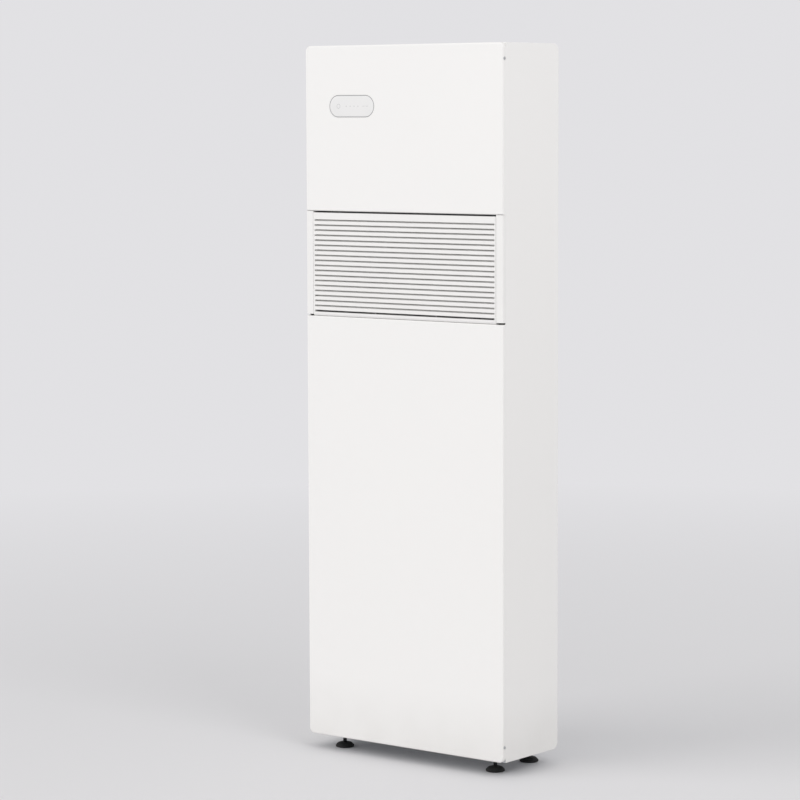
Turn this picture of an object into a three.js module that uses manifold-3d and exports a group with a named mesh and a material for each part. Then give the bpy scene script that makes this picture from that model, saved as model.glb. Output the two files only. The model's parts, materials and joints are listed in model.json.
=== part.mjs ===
// Floor standing one-piece air conditioner.
// Millimetres, +Z up, the front faces -Y, the origin is on the floor under the middle of the cabinet.
import * as THREE from 'three';
import { mergeVertices } from 'three/addons/utils/BufferGeometryUtils.js';
import Module from 'manifold-3d';

const wasm = await Module();
wasm.setup();

// ---------- driving dimensions ----------
// cabinet
const CASE_W = 495;
const CASE_D = 184;
const CASE_H = 1405;
const FLOOR_GAP = 30;
const SHEET = 1.2;            // steel sheet
const SEAT = 0.3;             // clearance between pieces that seat on each other
const SEAM = 0.4;             // open seam between painted panels
const FRONT_RETURN = 8.5;     // depth of the front panels' folded edge
const FRONT_BEND = 3;         // bend radius of that fold
const FRONT_CORNER = 12;      // corner radius of the front panels seen from the front
const REAR_CORNER = 14;       // corner radius of the side panels seen from the side
const REAR_FLANGE = 18;       // width of the flanges round the back
const TRAY_FLANGE = 16;       // height of the top cover's and base pan's flanges
// louvred intake
const GRILLE_DROP = 331;      // from the top of the cabinet to the grille's columns
const COLUMN_H = 209;
const COLUMN_W = 17.5;
const COLUMN_DEPTH = 14;
const SHADOW_GAP = 3.5;       // dark gap over the grille and under its columns
const GRILLE_SIDE_GAP = 0.8;
const GRILLE_DEPTH = 12;
const GRILLE_END = 3;         // thickness of the grille's end plates
const GRILLE_BOTTOM_BAR = 8;
const SLOT_COUNT = 19;
const SLOT_PITCH = 10.17;
const SLOT_H = 3.6;
const LOUVRE_RISE = 6;        // how far a louvre climbs towards the back
const LOUVRE_BACK = 2.6;      // thickness of a louvre's rear edge
const RIB_COUNT = 2;
const RIB_W = 2;
const HINGE_R = 5;            // rounding of a lid's hinge edge, about the hinge axis
const HINGE_PIN_R = 2;
const HINGE_PIN_CLEAR = 0.3;
// display
const WINDOW_W = 114;
const WINDOW_H = 43.5;
const WINDOW_IN = 120;         // from the cabinet's left side to the window's middle
const WINDOW_DROP = 121;
const LENS_T = 2;
const DISPLAY_BOX_D = 14;
const DISPLAY_BOX_RIM = 6;
const DISPLAY_WALL = 2;
const LENS_LEDGE = 2;         // how far the housing reaches under the lens
const BOARD_T = 1.6;
const DISPLAY_PLUG = { w: 14, h: 12, d: 5, in: 6 };
const DISPLAY_CHIP = { w: 24, d: 2 };
// filter
const FILTER_T = 3.5;
const FILTER_BAR = 6;
const FILTER_MESH = 0.8;
const FILTER_INSET = 10;
const FILTER_PANES = { across: 4, up: 2 };
// top outlet
const OUTLET_IN = 47.5;        // from the cabinet's sides to the outlet
const OUTLET_FRONT = 12;      // y of the outlet's front edge
const OUTLET_BACK = 74;       // y of the outlet's rear edge
const OUTLET_WALL = 3;
const OUTLET_FRAME_H = 20;
const FLAP_GAP = 0.6;
const FLAP_T = 3;
const GUARD_COUNT = 9;
const GUARD_T = 2;
const GUARD_H = 6;
const FLAP_MOTOR = { w: 18, y0: -13, y1: 5, z0: -14, z1: 3 };
// blower
const ROTOR_R = 46;
const ROTOR_IN = 10;           // from the outlet's ends to the rotor's
const ROTOR_Y = 22;
const ROTOR_DROP = 235;
const ROTOR_BLADES = 24;
const ROTOR_DISCS = 3;
const ROTOR_DISC_T = 2;
const ROTOR_BLADE_T = 1.5;
const ROTOR_INNER = 35;
const ROTOR_LEAN = 9;         // degrees a blade leans forward
const BLADE_IN = 0.5;         // blades end this far inside the discs' rims
const SHAFT_R = 4;
const BEARING_R = 12;
const BEARING_L = 8;
const DUCT_WALL = 3;
const TONGUE_GAP = 4;
const SCROLL_GAP = 6;
const SCROLL_GROW = 12;
const SCROLL_FROM = -75;      // degrees round the rotor, 0 at the back
const SCROLL_TO = 40;
const TONGUE_ANGLE = 135;
const TONGUE_RISE = 64;       // height of the sloping part of the tongue
const BLOWER_MOTOR_R = 36;
const BLOWER_MOTOR_L = 34;
// partition, tray and room side coil
const PARTITION_DROP = 585;    // from the top of the cabinet
const PARTITION_T = 12;
const TRAY_IN = 20;            // from the side panels to the tray
const TRAY_D = 48;
const TRAY_H = 24;
const TRAY_WALL = 2;
const TRAY_DRAIN_R = 4;
const EVAP = { over: 5, y0: -62, y1: -30, h: 252, pitch: 16, fin: 1.6, web: 8 };
const BEND_R = 10;
const BEND_TUBE = 4;
const BEND_OUT = 3;           // straight stub between the fins and a bend
const BEND_PITCH = 50;
const BEND_COUNT = 4;
// outside air half
const SHELF_Z = 350;
const COND = { x0: -22, x1: 16, d: 170, pitch: 12, fin: 1.6, web: 8 };
const DUCT_SHIFT = 5.75;       // from the middle of each half of the cabinet towards its centre
const DUCT_RISE = 9.4;         // over the middle of the outside air half
const COLLAR_OVER = 1;         // how much larger a collar is than the fan wheel
const COLLAR_T = 3;
const COLLAR_FLANGE = 8;
const FAN_IN = 38;             // from the cabinet's centre to the fan wheel
const FAN_BLADE_H = 16;
const FAN_L = 48;
const FAN_BLADES = 24;
const FAN_BLADE_T = 1.6;
const FAN_PLATE = 2.5;
const FAN_LEAN = 14;
const FAN_HUB = { r: 18, rim: 12, nose: 10, h: 20 };
const FAN_CASE = { y0: 0, wall: 2.5, gap: 5, start: 12, grow: 33, depth: 58, from: 140, to: 450 };
const FAN_OUTLET_X = 30;
const FAN_MOTOR_R = 42;
const FAN_MOTOR_L = 40;
const FAN_MOTOR_EAR = { r: 9, out: 6, t: 4 };
// refrigerating side
const COMP = { x: 118, y: 4, r: 56, z: 47, h: 250, dome: 26, foot: 3, footR: 74 };
const COMP_CAP = { r: 16, out: 24, h: 8 };
const COMP_STUD = { r: 6, h: 4 };
const MOUNT_R = 13;
const MOUNT_PITCH_R = 62;
const MOUNT_WAIST = 3;
const MOUNT_NECK_R = 4.5;
const MOUNT_ANGLES = [90, 210, 330];
const ACCU = { x: 28, r: 25, z: 112, h: 150, dome: 12, elbow: 20, strap: 20, strapW: 16 };
const PIPE_R = 5;
const PIPE_HOLE = 7;
const PIPE_BEND = 14;
const LIQUID_R = 3.5;
const DISCHARGE_RISE = 40;
const SUCTION_DROP = { coil: 12, shelf: 18 };
const SUCTION = { in: 10, y: -46 };
const LIQUID = { x: -52, y: 0, below: 50, above: 55 };    // under and over the partition
const DRAIN = { x: -150, y: -43, r: 8, below: 8 };
// electrics
const CONTROL = { x1: -72, y0: -20, y1: 42, z0: 66, z1: 332 };
const BOARD = { inX: 12, inZ: 14, post: 3, postIn: 6, gap: 8 };
const CAPACITOR = { count: 3, r: 11, h: 31, x: 24, z: 40, pitch: 28 };
const HEAT_SINK = { in: 14, top: 24, h: 52, d: 23, pitch: 15, slot: 9, root: 6 };
const RELAY = { in: 22, w: 28, z: 80, h: 24, d: 17 };
const GLAND = { x: -120, y: 55, r: 9, nut: 13, nose: 7, below: 8, above: 12, lip: 2 };
// feet
const FOOT_IN = 55;            // from the cabinet's sides to the feet
const FOOT_FRONT = 48;        // from the front face to the front feet
const FOOT_REAR = 22;         // from the back face to the rear feet
const FOOT_R = 19;
const FOOT_TOP_R = 10;
const FOOT_H = 10;
const FOOT_RIM = 3;
const STEM_SPARE = 10;        // stem left above its boss
const STEM_R = 4;
const BOSS_R = 8;
const BOSS_H = 14;
// front panel screws
const SCREW_HEAD_R = 3.2;
const SCREW_R = 1.6;
const SCREW_IN = 31;          // from the cabinet's top and bottom edges
const SCREW_BACK = 4.6;       // behind the front face

// facets round a turned shape, and how far a cutting tool runs past the face it cuts
const FACETS = { pipe: 6, small: 12, shaft: 16, round: 24, large: 36 };
const OVER = 1;

// ---------- places worked out from them ----------
const X = CASE_W / 2;
const YF = -CASE_D / 2;
const YB = CASE_D / 2;
const Z0 = FLOOR_GAP;
const Z1 = FLOOR_GAP + CASE_H;
const YI = YF + FRONT_RETURN + SEAM;            // front plane of the cabinet behind the front panels
const LIP_X = X - SHEET - SEAT;                 // outer face of the lip under the front panels' returns
const IN_X = X - SHEET - SEAT;                  // half width of what stands between the side panels
const JOG_X = LIP_X - SHEET - SEAT;             // half width beside the lips
const BACK_Y = YB - 2 * SHEET - 2 * SEAT;       // just in front of the rear panel
const REAR_PANEL_Y = YB - SHEET - SEAT;
const WINDOW_X = WINDOW_IN - X;
const FOOT_X = X - FOOT_IN;
const COLUMN_TOP = Z1 - GRILLE_DROP - SEAM;
const COLUMN_BOTTOM = COLUMN_TOP - COLUMN_H + SEAM;
const LOWER_TOP = COLUMN_BOTTOM - SHADOW_GAP;
const GRILLE_TOP = Z1 - GRILLE_DROP - SHADOW_GAP;
const GRILLE_BOTTOM = LOWER_TOP + SEAM;
const GRILLE_X = X - COLUMN_W - GRILLE_SIDE_GAP;
const GRILLE_AXIS = { y: YF + HINGE_R, z: GRILLE_BOTTOM + HINGE_R };
const OUTLET_W = CASE_W - 2 * OUTLET_IN;
const ROTOR_L = OUTLET_W - 2 * ROTOR_IN;
const FLAP_AXIS = { y: OUTLET_BACK - FLAP_GAP - HINGE_R, z: Z1 - HINGE_R };
const FRAME_TOP = Z1 - SHEET - SEAT;
const FRAME_BOTTOM = FRAME_TOP - OUTLET_FRAME_H;
const ROTOR_Z = Z1 - ROTOR_DROP;
const HOUSING_TOP = FRAME_BOTTOM - SEAT;
const HOUSING_X = OUTLET_W / 2 + DUCT_WALL;
const PARTITION_Z = Z1 - PARTITION_DROP;
const PARTITION_TOP = PARTITION_Z + PARTITION_T;
const TRAY_W = 2 * (IN_X - TRAY_IN);
const TRAY_Z = PARTITION_TOP + SEAT;
const EVAP_Z = TRAY_Z + TRAY_WALL + SEAT;
const EVAP_W = OUTLET_W + 2 * EVAP.over;
const EVAP_TOP = EVAP_Z + EVAP.h;
const SUCTION_X = IN_X - SUCTION.in;
const SHELF_TOP = SHELF_Z + SHEET;
const PAN_TOP = Z0 + SHEET;
const DUCT_X = X / 2 - DUCT_SHIFT;
const DUCT_Z = (SHELF_TOP + PARTITION_Z) / 2 + DUCT_RISE;
const FAN_R = DUCT_X - FAN_IN;
const FAN_INNER = FAN_R - FAN_BLADE_H;
const COLLAR_R = FAN_R + COLLAR_OVER;
const FAN_MOUTH_Y = FAN_CASE.y0 + FAN_CASE.depth + 2 * FAN_CASE.wall;
const REAR_FOOT_Y = YB - FOOT_REAR;
const FRONT_FOOT_Y = YF + FOOT_FRONT;
const WINDOW_Z = Z1 - WINDOW_DROP;

// ---------- solids from three.js geometry ----------
const rad = THREE.MathUtils.degToRad;
const TURN = 360;             // degrees
const BEND_STEPS = 3;         // facets along a pipe's bend
const ARC_STEPS = 5;

function solid(geometry) {
  geometry.deleteAttribute('normal');
  geometry.deleteAttribute('uv');
  const merged = mergeVertices(geometry, 1e-4);
  const position = merged.attributes.position.array;
  const kept = [];
  for (let i = 0; i < merged.index.count; i += 3) {
    const [a, b, c] = [0, 1, 2].map((k) => merged.index.array[i + k]);
    if (a !== b && b !== c && c !== a) kept.push(a, b, c);
  }
  return new wasm.Manifold(new wasm.Mesh({
    numProp: 3,
    vertProperties: new Float32Array(position),
    triVerts: new Uint32Array(kept),
  }));
}

const join = (...solids) => solids.flat().reduce((sum, part) => sum.add(part));
const cut = (base, ...tools) => tools.flat().reduce((rest, tool) => rest.subtract(tool), base);

function box(x0, x1, y0, y1, z0, z1) {
  const geometry = new THREE.BoxGeometry(Math.abs(x1 - x0), Math.abs(y1 - y0), Math.abs(z1 - z0));
  return solid(geometry.translate((x0 + x1) / 2, (y0 + y1) / 2, (z0 + z1) / 2));
}

// Turns a geometry made along +Z so that it runs along the named axis.
// A profile's own two coordinates become (y, z) on axis x, (x, z) on axis y and (x, y) on axis z.
function turnTo(geometry, axis, from, to) {
  if (axis === 'x') {
    geometry.applyMatrix4(new THREE.Matrix4().set(0, 0, 1, from, 1, 0, 0, 0, 0, 1, 0, 0, 0, 0, 0, 1));
  } else if (axis === 'y') {
    geometry.applyMatrix4(new THREE.Matrix4().set(1, 0, 0, 0, 0, 0, -1, to, 0, 1, 0, 0, 0, 0, 0, 1));
  } else {
    geometry.translate(0, 0, from);
  }
  return geometry;
}

function prism(shape, axis, from, to, curveSegments = ARC_STEPS) {
  const geometry = new THREE.ExtrudeGeometry(shape, { depth: to - from, bevelEnabled: false, curveSegments });
  return solid(turnTo(geometry, axis, from, to));
}

function polygon(points) {
  return new THREE.Shape(points.map(([a, b]) => new THREE.Vector2(a, b)));
}

function rectangle(a0, a1, b0, b1, radii = [0, 0, 0, 0]) {
  const [r00, r10, r11, r01] = radii;      // lower left, lower right, upper right, upper left
  const shape = new THREE.Shape();
  shape.moveTo(a0 + r00, b0);
  shape.lineTo(a1 - r10, b0);
  if (r10) shape.absarc(a1 - r10, b0 + r10, r10, rad(-90), 0);
  shape.lineTo(a1, b1 - r11);
  if (r11) shape.absarc(a1 - r11, b1 - r11, r11, 0, rad(90));
  shape.lineTo(a0 + r01, b1);
  if (r01) shape.absarc(a0 + r01, b1 - r01, r01, rad(90), rad(180));
  shape.lineTo(a0, b0 + r00);
  if (r00) shape.absarc(a0 + r00, b0 + r00, r00, rad(180), rad(270));
  return shape;
}

function rod(axis, radius, from, to, a, b, sides = FACETS.shaft) {
  const geometry = new THREE.CylinderGeometry(radius, radius, to - from, sides);
  geometry.rotateX(Math.PI / 2).translate(a, b, (to - from) / 2);
  return solid(turnTo(geometry, axis, from, to));
}

// Revolves [radius, height] points about an axis through (a, b); the points start and end on the axis
// or close on themselves.
function revolve(points, axis, a, b, from, sides) {
  const profile = points.map(([r, h]) => new THREE.Vector2(r, h));
  const geometry = new THREE.LatheGeometry(profile, sides);
  geometry.rotateX(Math.PI / 2).translate(a, b, 0);
  return solid(turnTo(geometry, axis, from, from));
}

// A round bar or pipe along straight legs with rounded corners.
function pipe(points, radius, corner) {
  const at = points.map((p) => new THREE.Vector3(...p));
  const stops = [at[0]];
  for (let i = 1; i < at.length - 1; i += 1) {
    const into = at[i].clone().sub(at[i - 1]).normalize();
    const out = at[i + 1].clone().sub(at[i]).normalize();
    const a = at[i].clone().addScaledVector(into, -corner);
    const b = at[i].clone().addScaledVector(out, corner);
    stops.push(...new THREE.QuadraticBezierCurve3(a, at[i], b).getPoints(BEND_STEPS));
  }
  stops.push(at[at.length - 1]);
  return sweep(stops, radius, FACETS.pipe);
}

// One ring of corners at each stop, square to the route there, joined to the next ring.
function sweep(stops, radius, sides) {
  const rings = [];
  let side = null;
  stops.forEach((stop, i) => {
    const before = stops[Math.max(i - 1, 0)];
    const after = stops[Math.min(i + 1, stops.length - 1)];
    const along = after.clone().sub(before).normalize();
    if (!side) side = Math.abs(along.z) > 0.9 ? new THREE.Vector3(1, 0, 0) : new THREE.Vector3(0, 0, 1);
    side = side.clone().addScaledVector(along, -side.dot(along)).normalize();
    const other = along.clone().cross(side);
    const ring = [];
    for (let k = 0; k < sides; k += 1) {
      const angle = (2 * Math.PI * (k + 0.5)) / sides;
      ring.push(stop.clone().addScaledVector(side, radius * Math.cos(angle))
        .addScaledVector(other, radius * Math.sin(angle)));
    }
    rings.push(ring);
  });
  const corners = rings.flat().concat([stops[0], stops[stops.length - 1]]);
  const position = corners.flatMap((p) => [p.x, p.y, p.z]);
  const index = [];
  const last = (rings.length - 1) * sides;
  for (let k = 0; k < sides; k += 1) {
    const n = (k + 1) % sides;
    index.push(rings.length * sides, n, k, rings.length * sides + 1, last + k, last + n);
    for (let i = 0; i < rings.length - 1; i += 1) {
      const [a, b] = [i * sides, (i + 1) * sides];
      index.push(a + k, a + n, b + k, a + n, b + n, b + k);
    }
  }
  const geometry = new THREE.BufferGeometry();
  geometry.setAttribute('position', new THREE.Float32BufferAttribute(position, 3));
  geometry.setIndex(index);
  return solid(geometry);
}

// ---------- the assembly and its finishes ----------
const group = new THREE.Group();

const FINISHES = {
  white_paint: { color: 0xf1efec, roughness: 0.5, metalness: 0 },
  white_plastic: { color: 0xeeedeb, roughness: 0.45, metalness: 0 },
  lens: { color: 0xe4e4e3, roughness: 0.2, metalness: 0 },
  zinc_sheet: { color: 0xb4b8bb, roughness: 0.45, metalness: 0.9 },
  steel: { color: 0x8f9396, roughness: 0.4, metalness: 0.9 },
  aluminium: { color: 0xc3c7ca, roughness: 0.4, metalness: 0.9 },
  copper: { color: 0xb8714a, roughness: 0.35, metalness: 0.9 },
  black_rubber: { color: 0x1b1b1c, roughness: 0.8, metalness: 0 },
  black_enamel: { color: 0x222325, roughness: 0.4, metalness: 0.2 },
  dark_plastic: { color: 0x3a3c3f, roughness: 0.6, metalness: 0 },
  grey_plastic: { color: 0x9a9da0, roughness: 0.6, metalness: 0 },
  foam: { color: 0xd9dadb, roughness: 0.9, metalness: 0 },
  board: { color: 0x1f6b45, roughness: 0.5, metalness: 0 },
};

function place(name, finish, body) {
  const made = body.getMesh();
  const geometry = new THREE.BufferGeometry();
  geometry.setAttribute('position', new THREE.Float32BufferAttribute(made.vertProperties, 3));
  geometry.setIndex(new THREE.Uint32BufferAttribute(made.triVerts, 1));
  geometry.computeVertexNormals();
  const mesh = new THREE.Mesh(geometry, new THREE.MeshStandardMaterial(FINISHES[finish]));
  mesh.name = name;
  group.add(mesh);
}

const SIDES = [['left', -1], ['right', 1]];
// Right hand extents, mirrored for the left hand side.
const span = (s, a, b) => [Math.min(s * a, s * b), Math.max(s * a, s * b)];
const sideBox = (s, x0, x1, ...rest) => box(...span(s, x0, x1), ...rest);

// ---------- cabinet ----------
function screwHole(s, z) {
  const y = YF + SCREW_BACK;
  return {
    head: rod('x', SCREW_HEAD_R + SEAT, ...span(s, X - SHEET - OVER, X + OVER), y, z, FACETS.small),
    shank: rod('x', SCREW_R + SEAT, ...span(s, JOG_X - OVER, LIP_X + OVER), y, z, FACETS.small),
  };
}
const SCREW_ZS = [['upper', Z1 - SCREW_IN], ['lower', Z0 + SCREW_IN]];

function sidePanel(s) {
  const outline = rectangle(YI, YB, Z0, Z1, [0, REAR_CORNER, REAR_CORNER, 0]);
  const web = prism(outline, 'x', ...span(s, X - SHEET, X));
  const flangeEnd = REAR_CORNER + TRAY_FLANGE + SEAT;
  const flange = sideBox(s, X - REAR_FLANGE, X, YB - SHEET, YB, Z0 + flangeEnd, Z1 - flangeEnd);
  // The lip reaches under the front panels' returns and stops short of their crosswise folds.
  const ends = FRONT_CORNER + SEAT;
  const step = sideBox(s, LIP_X - SHEET, X, YI, YI + SHEET, Z0 + ends, Z1 - ends);
  const lips = [
    [Z0 + ends, LOWER_TOP - SHEET - SEAT], [COLUMN_BOTTOM, COLUMN_TOP],
    [Z1 - GRILLE_DROP + SHEET + SEAT, Z1 - ends],
  ].map(([a, b]) => sideBox(s, LIP_X - SHEET, LIP_X, YF + FRONT_BEND + SEAT, YI + SHEET / 2, a, b));
  let panel = join(web, flange, step, lips);
  SCREW_ZS.forEach(([, z]) => { panel = cut(panel, screwHole(s, z).shank); });
  return panel;
}
SIDES.forEach(([side, s]) => place(`side_panel_${side}`, 'white_paint', sidePanel(s)));

// The top cover and the base pan are the same folded tray, one the other's mirror image.
function endTray(zOut, up) {
  const z = (v) => zOut + up * v;
  const shape = new THREE.Shape();
  const arc = (r, out) => {
    const [a, b] = up > 0 ? [-90, 0] : [90, 0];
    if (out) shape.absarc(YB - REAR_CORNER, z(REAR_CORNER), r, rad(a), rad(b), up < 0);
    else shape.absarc(YB - REAR_CORNER, z(REAR_CORNER), r, rad(b), rad(a), up > 0);
  };
  shape.moveTo(YI, z(TRAY_FLANGE));
  shape.lineTo(YI, z(0));
  arc(REAR_CORNER, true);
  shape.lineTo(YB, z(REAR_CORNER + TRAY_FLANGE));
  shape.lineTo(YB - SHEET, z(REAR_CORNER + TRAY_FLANGE));
  arc(REAR_CORNER - SHEET, false);
  shape.lineTo(YI + SHEET, z(SHEET));
  shape.lineTo(YI + SHEET, z(TRAY_FLANGE));
  const sheet = prism(shape, 'x', -IN_X, IN_X);
  const [low, high] = up > 0 ? [zOut, zOut + TRAY_FLANGE] : [zOut - TRAY_FLANGE, zOut];
  const walls = [-1, 1].map((s) => sideBox(s, IN_X - SHEET, IN_X, YI, YB - REAR_CORNER, low, high));
  const notches = [-1, 1].map((s) => sideBox(s, JOG_X, X, YF, YI + SHEET + SEAT, low - OVER, high + OVER));
  return cut(join(sheet, walls), notches);
}

function basePan() {
  const pan = endTray(Z0, 1);
  const bosses = [];
  const holes = [];
  [-FOOT_X, FOOT_X].forEach((x) => [FRONT_FOOT_Y, REAR_FOOT_Y].forEach((y) => {
    bosses.push(rod('z', BOSS_R, Z0 + SHEET / 2, PAN_TOP + BOSS_H, x, y, FACETS.small));
    holes.push(rod('z', STEM_R + SEAT, Z0 - OVER, PAN_TOP + BOSS_H + OVER, x, y, FACETS.small));
  }));
  holes.push(rod('z', DRAIN.r + SEAT, Z0 - OVER, PAN_TOP + OVER, DRAIN.x, DRAIN.y));
  holes.push(rod('z', GLAND.r + SEAT, Z0 - OVER, PAN_TOP + OVER, GLAND.x, GLAND.y));
  return cut(join(pan, bosses), holes);
}
place('base_pan', 'zinc_sheet', basePan());

const outletHole = box(-OUTLET_W / 2, OUTLET_W / 2, OUTLET_FRONT, OUTLET_BACK, Z1 - 2 * SHEET, Z1 + OVER);
place('top_cover', 'white_paint', cut(endTray(Z1, -1), outletHole));

function rearPanel() {
  const ends = 2 * SHEET + SEAT;
  let panel = box(-IN_X, IN_X, REAR_PANEL_Y - SHEET, REAR_PANEL_Y, Z0 + REAR_CORNER, Z1 - REAR_CORNER);
  const tuck = [[Z0 + REAR_CORNER - ends, Z0 + REAR_CORNER + SHEET],
    [Z1 - REAR_CORNER - SHEET, Z1 - REAR_CORNER + ends]];
  panel = join(panel, tuck.map(([a, b]) => (
    box(-JOG_X, JOG_X, REAR_PANEL_Y - SHEET, REAR_PANEL_Y - SHEET / 2, a, b))));
  return cut(panel, [-DUCT_X, DUCT_X].map((x) => (
    rod('y', COLLAR_R + SEAT, REAR_PANEL_Y - 2 * SHEET, REAR_PANEL_Y + OVER, x, DUCT_Z, FACETS.large))));
}
place('rear_panel', 'zinc_sheet', rearPanel());

// A front panel is a shallow folded tray, open at the back.
function frontPanel(z0, z1, radii) {
  const skin = (inset, bend, y0, y1) => {
    const grown = inset + bend;
    const shape = rectangle(-X + grown, X - grown, z0 + grown, z1 - grown,
      radii.map((r) => Math.max(r - grown, 0)));
    const geometry = new THREE.ExtrudeGeometry(shape, {
      depth: y1 - y0 - bend, bevelThickness: bend, bevelSize: bend, bevelSegments: BEND_STEPS,
      curveSegments: ARC_STEPS - 1,
    });
    return solid(turnTo(geometry, 'y', y0, y1));
  };
  const outer = skin(0, FRONT_BEND, YF, YF + FRONT_RETURN);
  const inner = skin(SHEET, FRONT_BEND - SHEET, YF + SHEET, YF + FRONT_RETURN + 2 * FRONT_BEND);
  const rear = YF + FRONT_RETURN;
  const back = box(-X - OVER, X + OVER, rear, rear + 3 * FRONT_BEND, z0 - OVER, z1 + OVER);
  return cut(outer, back, inner);
}

function stadium(grow) {
  const r = WINDOW_H / 2 + grow;
  const [a, b] = [WINDOW_X - WINDOW_W / 2 - grow, WINDOW_X + WINDOW_W / 2 + grow];
  const shape = new THREE.Shape();
  shape.absarc(b - r, WINDOW_Z, r, rad(-90), rad(90));
  shape.absarc(a + r, WINDOW_Z, r, rad(90), rad(270));
  return shape;
}

const roundTop = [0, 0, FRONT_CORNER, FRONT_CORNER];
const roundBottom = [FRONT_CORNER, FRONT_CORNER, 0, 0];
const WINDOW_STEPS = 8;
const windowCut = prism(stadium(SEAT), 'y', YF - OVER, YF + 2 * SHEET, WINDOW_STEPS);
const upperPanel = cut(frontPanel(Z1 - GRILLE_DROP, Z1, roundTop), windowCut,
  SIDES.map(([, s]) => screwHole(s, SCREW_ZS[0][1]).head));
const lowerPanel = cut(frontPanel(Z0, LOWER_TOP, roundBottom),
  SIDES.map(([, s]) => screwHole(s, SCREW_ZS[1][1]).head));
place('front_panel_upper', 'white_paint', upperPanel);
place('front_panel_lower', 'white_paint', lowerPanel);

function panelScrew(s, z) {
  const y = YF + SCREW_BACK;
  return join(rod('x', SCREW_HEAD_R, ...span(s, X - SHEET, X), y, z, FACETS.small),
    rod('x', SCREW_R, ...span(s, JOG_X - 2 * SHEET, X - SHEET / 2), y, z, FACETS.small));
}
SCREW_ZS.forEach(([level, z]) => SIDES.forEach(([side, s]) => (
  place(`panel_screw_${level}_${side}`, 'steel', panelScrew(s, z)))));

// ---------- louvred intake ----------
function column(s) {
  const inner = X - COLUMN_W;
  const bend = Array.from({ length: ARC_STEPS + 1 }, (_, i) => {
    const angle = rad((90 * i) / ARC_STEPS);
    return [X - FRONT_BEND * (1 - Math.sin(angle)), YF + FRONT_BEND * (1 - Math.cos(angle))];
  });
  const section = [
    [inner, YF + COLUMN_DEPTH], [inner, YF], ...bend, [X, YF + FRONT_RETURN],
    [X - SHEET, YF + FRONT_RETURN], [X - SHEET, YF + FRONT_BEND], [X - FRONT_BEND, YF + SHEET],
    [inner + SHEET, YF + SHEET], [inner + SHEET, YF + COLUMN_DEPTH],
  ];
  const channel = prism(polygon(section.map(([x, y]) => [s * x, y])), 'z', COLUMN_BOTTOM, COLUMN_TOP);
  const pinEnd = inner - GRILLE_SIDE_GAP - GRILLE_END + SEAT;
  const pin = rod('x', HINGE_PIN_R, ...span(s, pinEnd, inner + SHEET / 2), GRILLE_AXIS.y, GRILLE_AXIS.z);
  return join(channel, pin);
}
SIDES.forEach(([side, s]) => place(`grille_column_${side}`, 'white_plastic', column(s)));

function intakeGrille() {
  const back = YF + GRILLE_DEPTH;
  const reach = GRILLE_X - GRILLE_END / 2;
  const across = (points) => prism(polygon(points), 'x', -reach, reach);
  const barH = SLOT_PITCH - SLOT_H;
  const firstBar = GRILLE_BOTTOM + GRILLE_BOTTOM_BAR + SLOT_H;
  const rising = (z, height) => across([
    [YF, z], [back, z + LOUVRE_RISE], [back, z + LOUVRE_RISE + LOUVRE_BACK], [YF, z + height],
  ]);
  const louvres = [];
  for (let i = 0; i < SLOT_COUNT - 1; i += 1) louvres.push(rising(firstBar + i * SLOT_PITCH, barH));
  const topBar = across([
    [YF, firstBar + (SLOT_COUNT - 1) * SLOT_PITCH],
    [back, firstBar + (SLOT_COUNT - 1) * SLOT_PITCH + LOUVRE_RISE], [back, GRILLE_TOP], [YF, GRILLE_TOP],
  ]);
  const bottomBar = prism(rectangle(YF, back, GRILLE_BOTTOM, GRILLE_BOTTOM + GRILLE_BOTTOM_BAR,
    [HINGE_R, 0, 0, 0]), 'x', -reach, reach);
  const ends = [-1, 1].map((s) => prism(
    rectangle(YF, back, GRILLE_BOTTOM, GRILLE_TOP, [HINGE_R, 0, 0, 0]), 'x',
    ...span(s, GRILLE_X - GRILLE_END, GRILLE_X)));
  const ribs = [];
  for (let i = 1; i <= RIB_COUNT; i += 1) {
    const x = -GRILLE_X + (2 * GRILLE_X * i) / (RIB_COUNT + 1);
    ribs.push(box(x - RIB_W / 2, x + RIB_W / 2, YF + GRILLE_DEPTH / 2, back,
      GRILLE_BOTTOM + GRILLE_BOTTOM_BAR / 2, GRILLE_TOP - GRILLE_BOTTOM_BAR / 2));
  }
  const pinHoles = [-1, 1].map((s) => rod('x', HINGE_PIN_R + HINGE_PIN_CLEAR,
    ...span(s, GRILLE_X - GRILLE_END, GRILLE_X + OVER), GRILLE_AXIS.y, GRILLE_AXIS.z));
  return cut(join(bottomBar, topBar, louvres, ends, ribs), pinHoles);
}
place('intake_grille', 'white_plastic', intakeGrille());

function airFilter() {
  const y0 = YF + GRILLE_DEPTH + SEAT;
  const y1 = y0 + FILTER_T;
  const [hx, z0, z1] = [GRILLE_X - FILTER_INSET, GRILLE_BOTTOM + FILTER_INSET, GRILLE_TOP - FILTER_INSET / 2];
  const panes = [];
  const paneW = (2 * hx - FILTER_BAR) / FILTER_PANES.across;
  const paneH = (z1 - z0 - FILTER_BAR) / FILTER_PANES.up;
  for (let i = 0; i < FILTER_PANES.across; i += 1) {
    for (let k = 0; k < FILTER_PANES.up; k += 1) {
      const [x, z] = [-hx + FILTER_BAR + i * paneW, z0 + FILTER_BAR + k * paneH];
      panes.push(box(x, x + paneW - FILTER_BAR, y0 + FILTER_MESH, y1 + OVER, z, z + paneH - FILTER_BAR));
    }
  }
  return cut(box(-hx, hx, y0, y1, z0, z1), panes);
}
place('air_filter', 'grey_plastic', airFilter());

// ---------- display ----------
place('display_lens', 'lens', prism(stadium(0), 'y', YF, YF + LENS_T, WINDOW_STEPS));

const DISPLAY_Y = YF + SHEET + SEAT;
const displayHalf = (wall) => [WINDOW_W / 2 + DISPLAY_BOX_RIM - wall, WINDOW_H / 2 + DISPLAY_BOX_RIM - wall];

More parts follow.
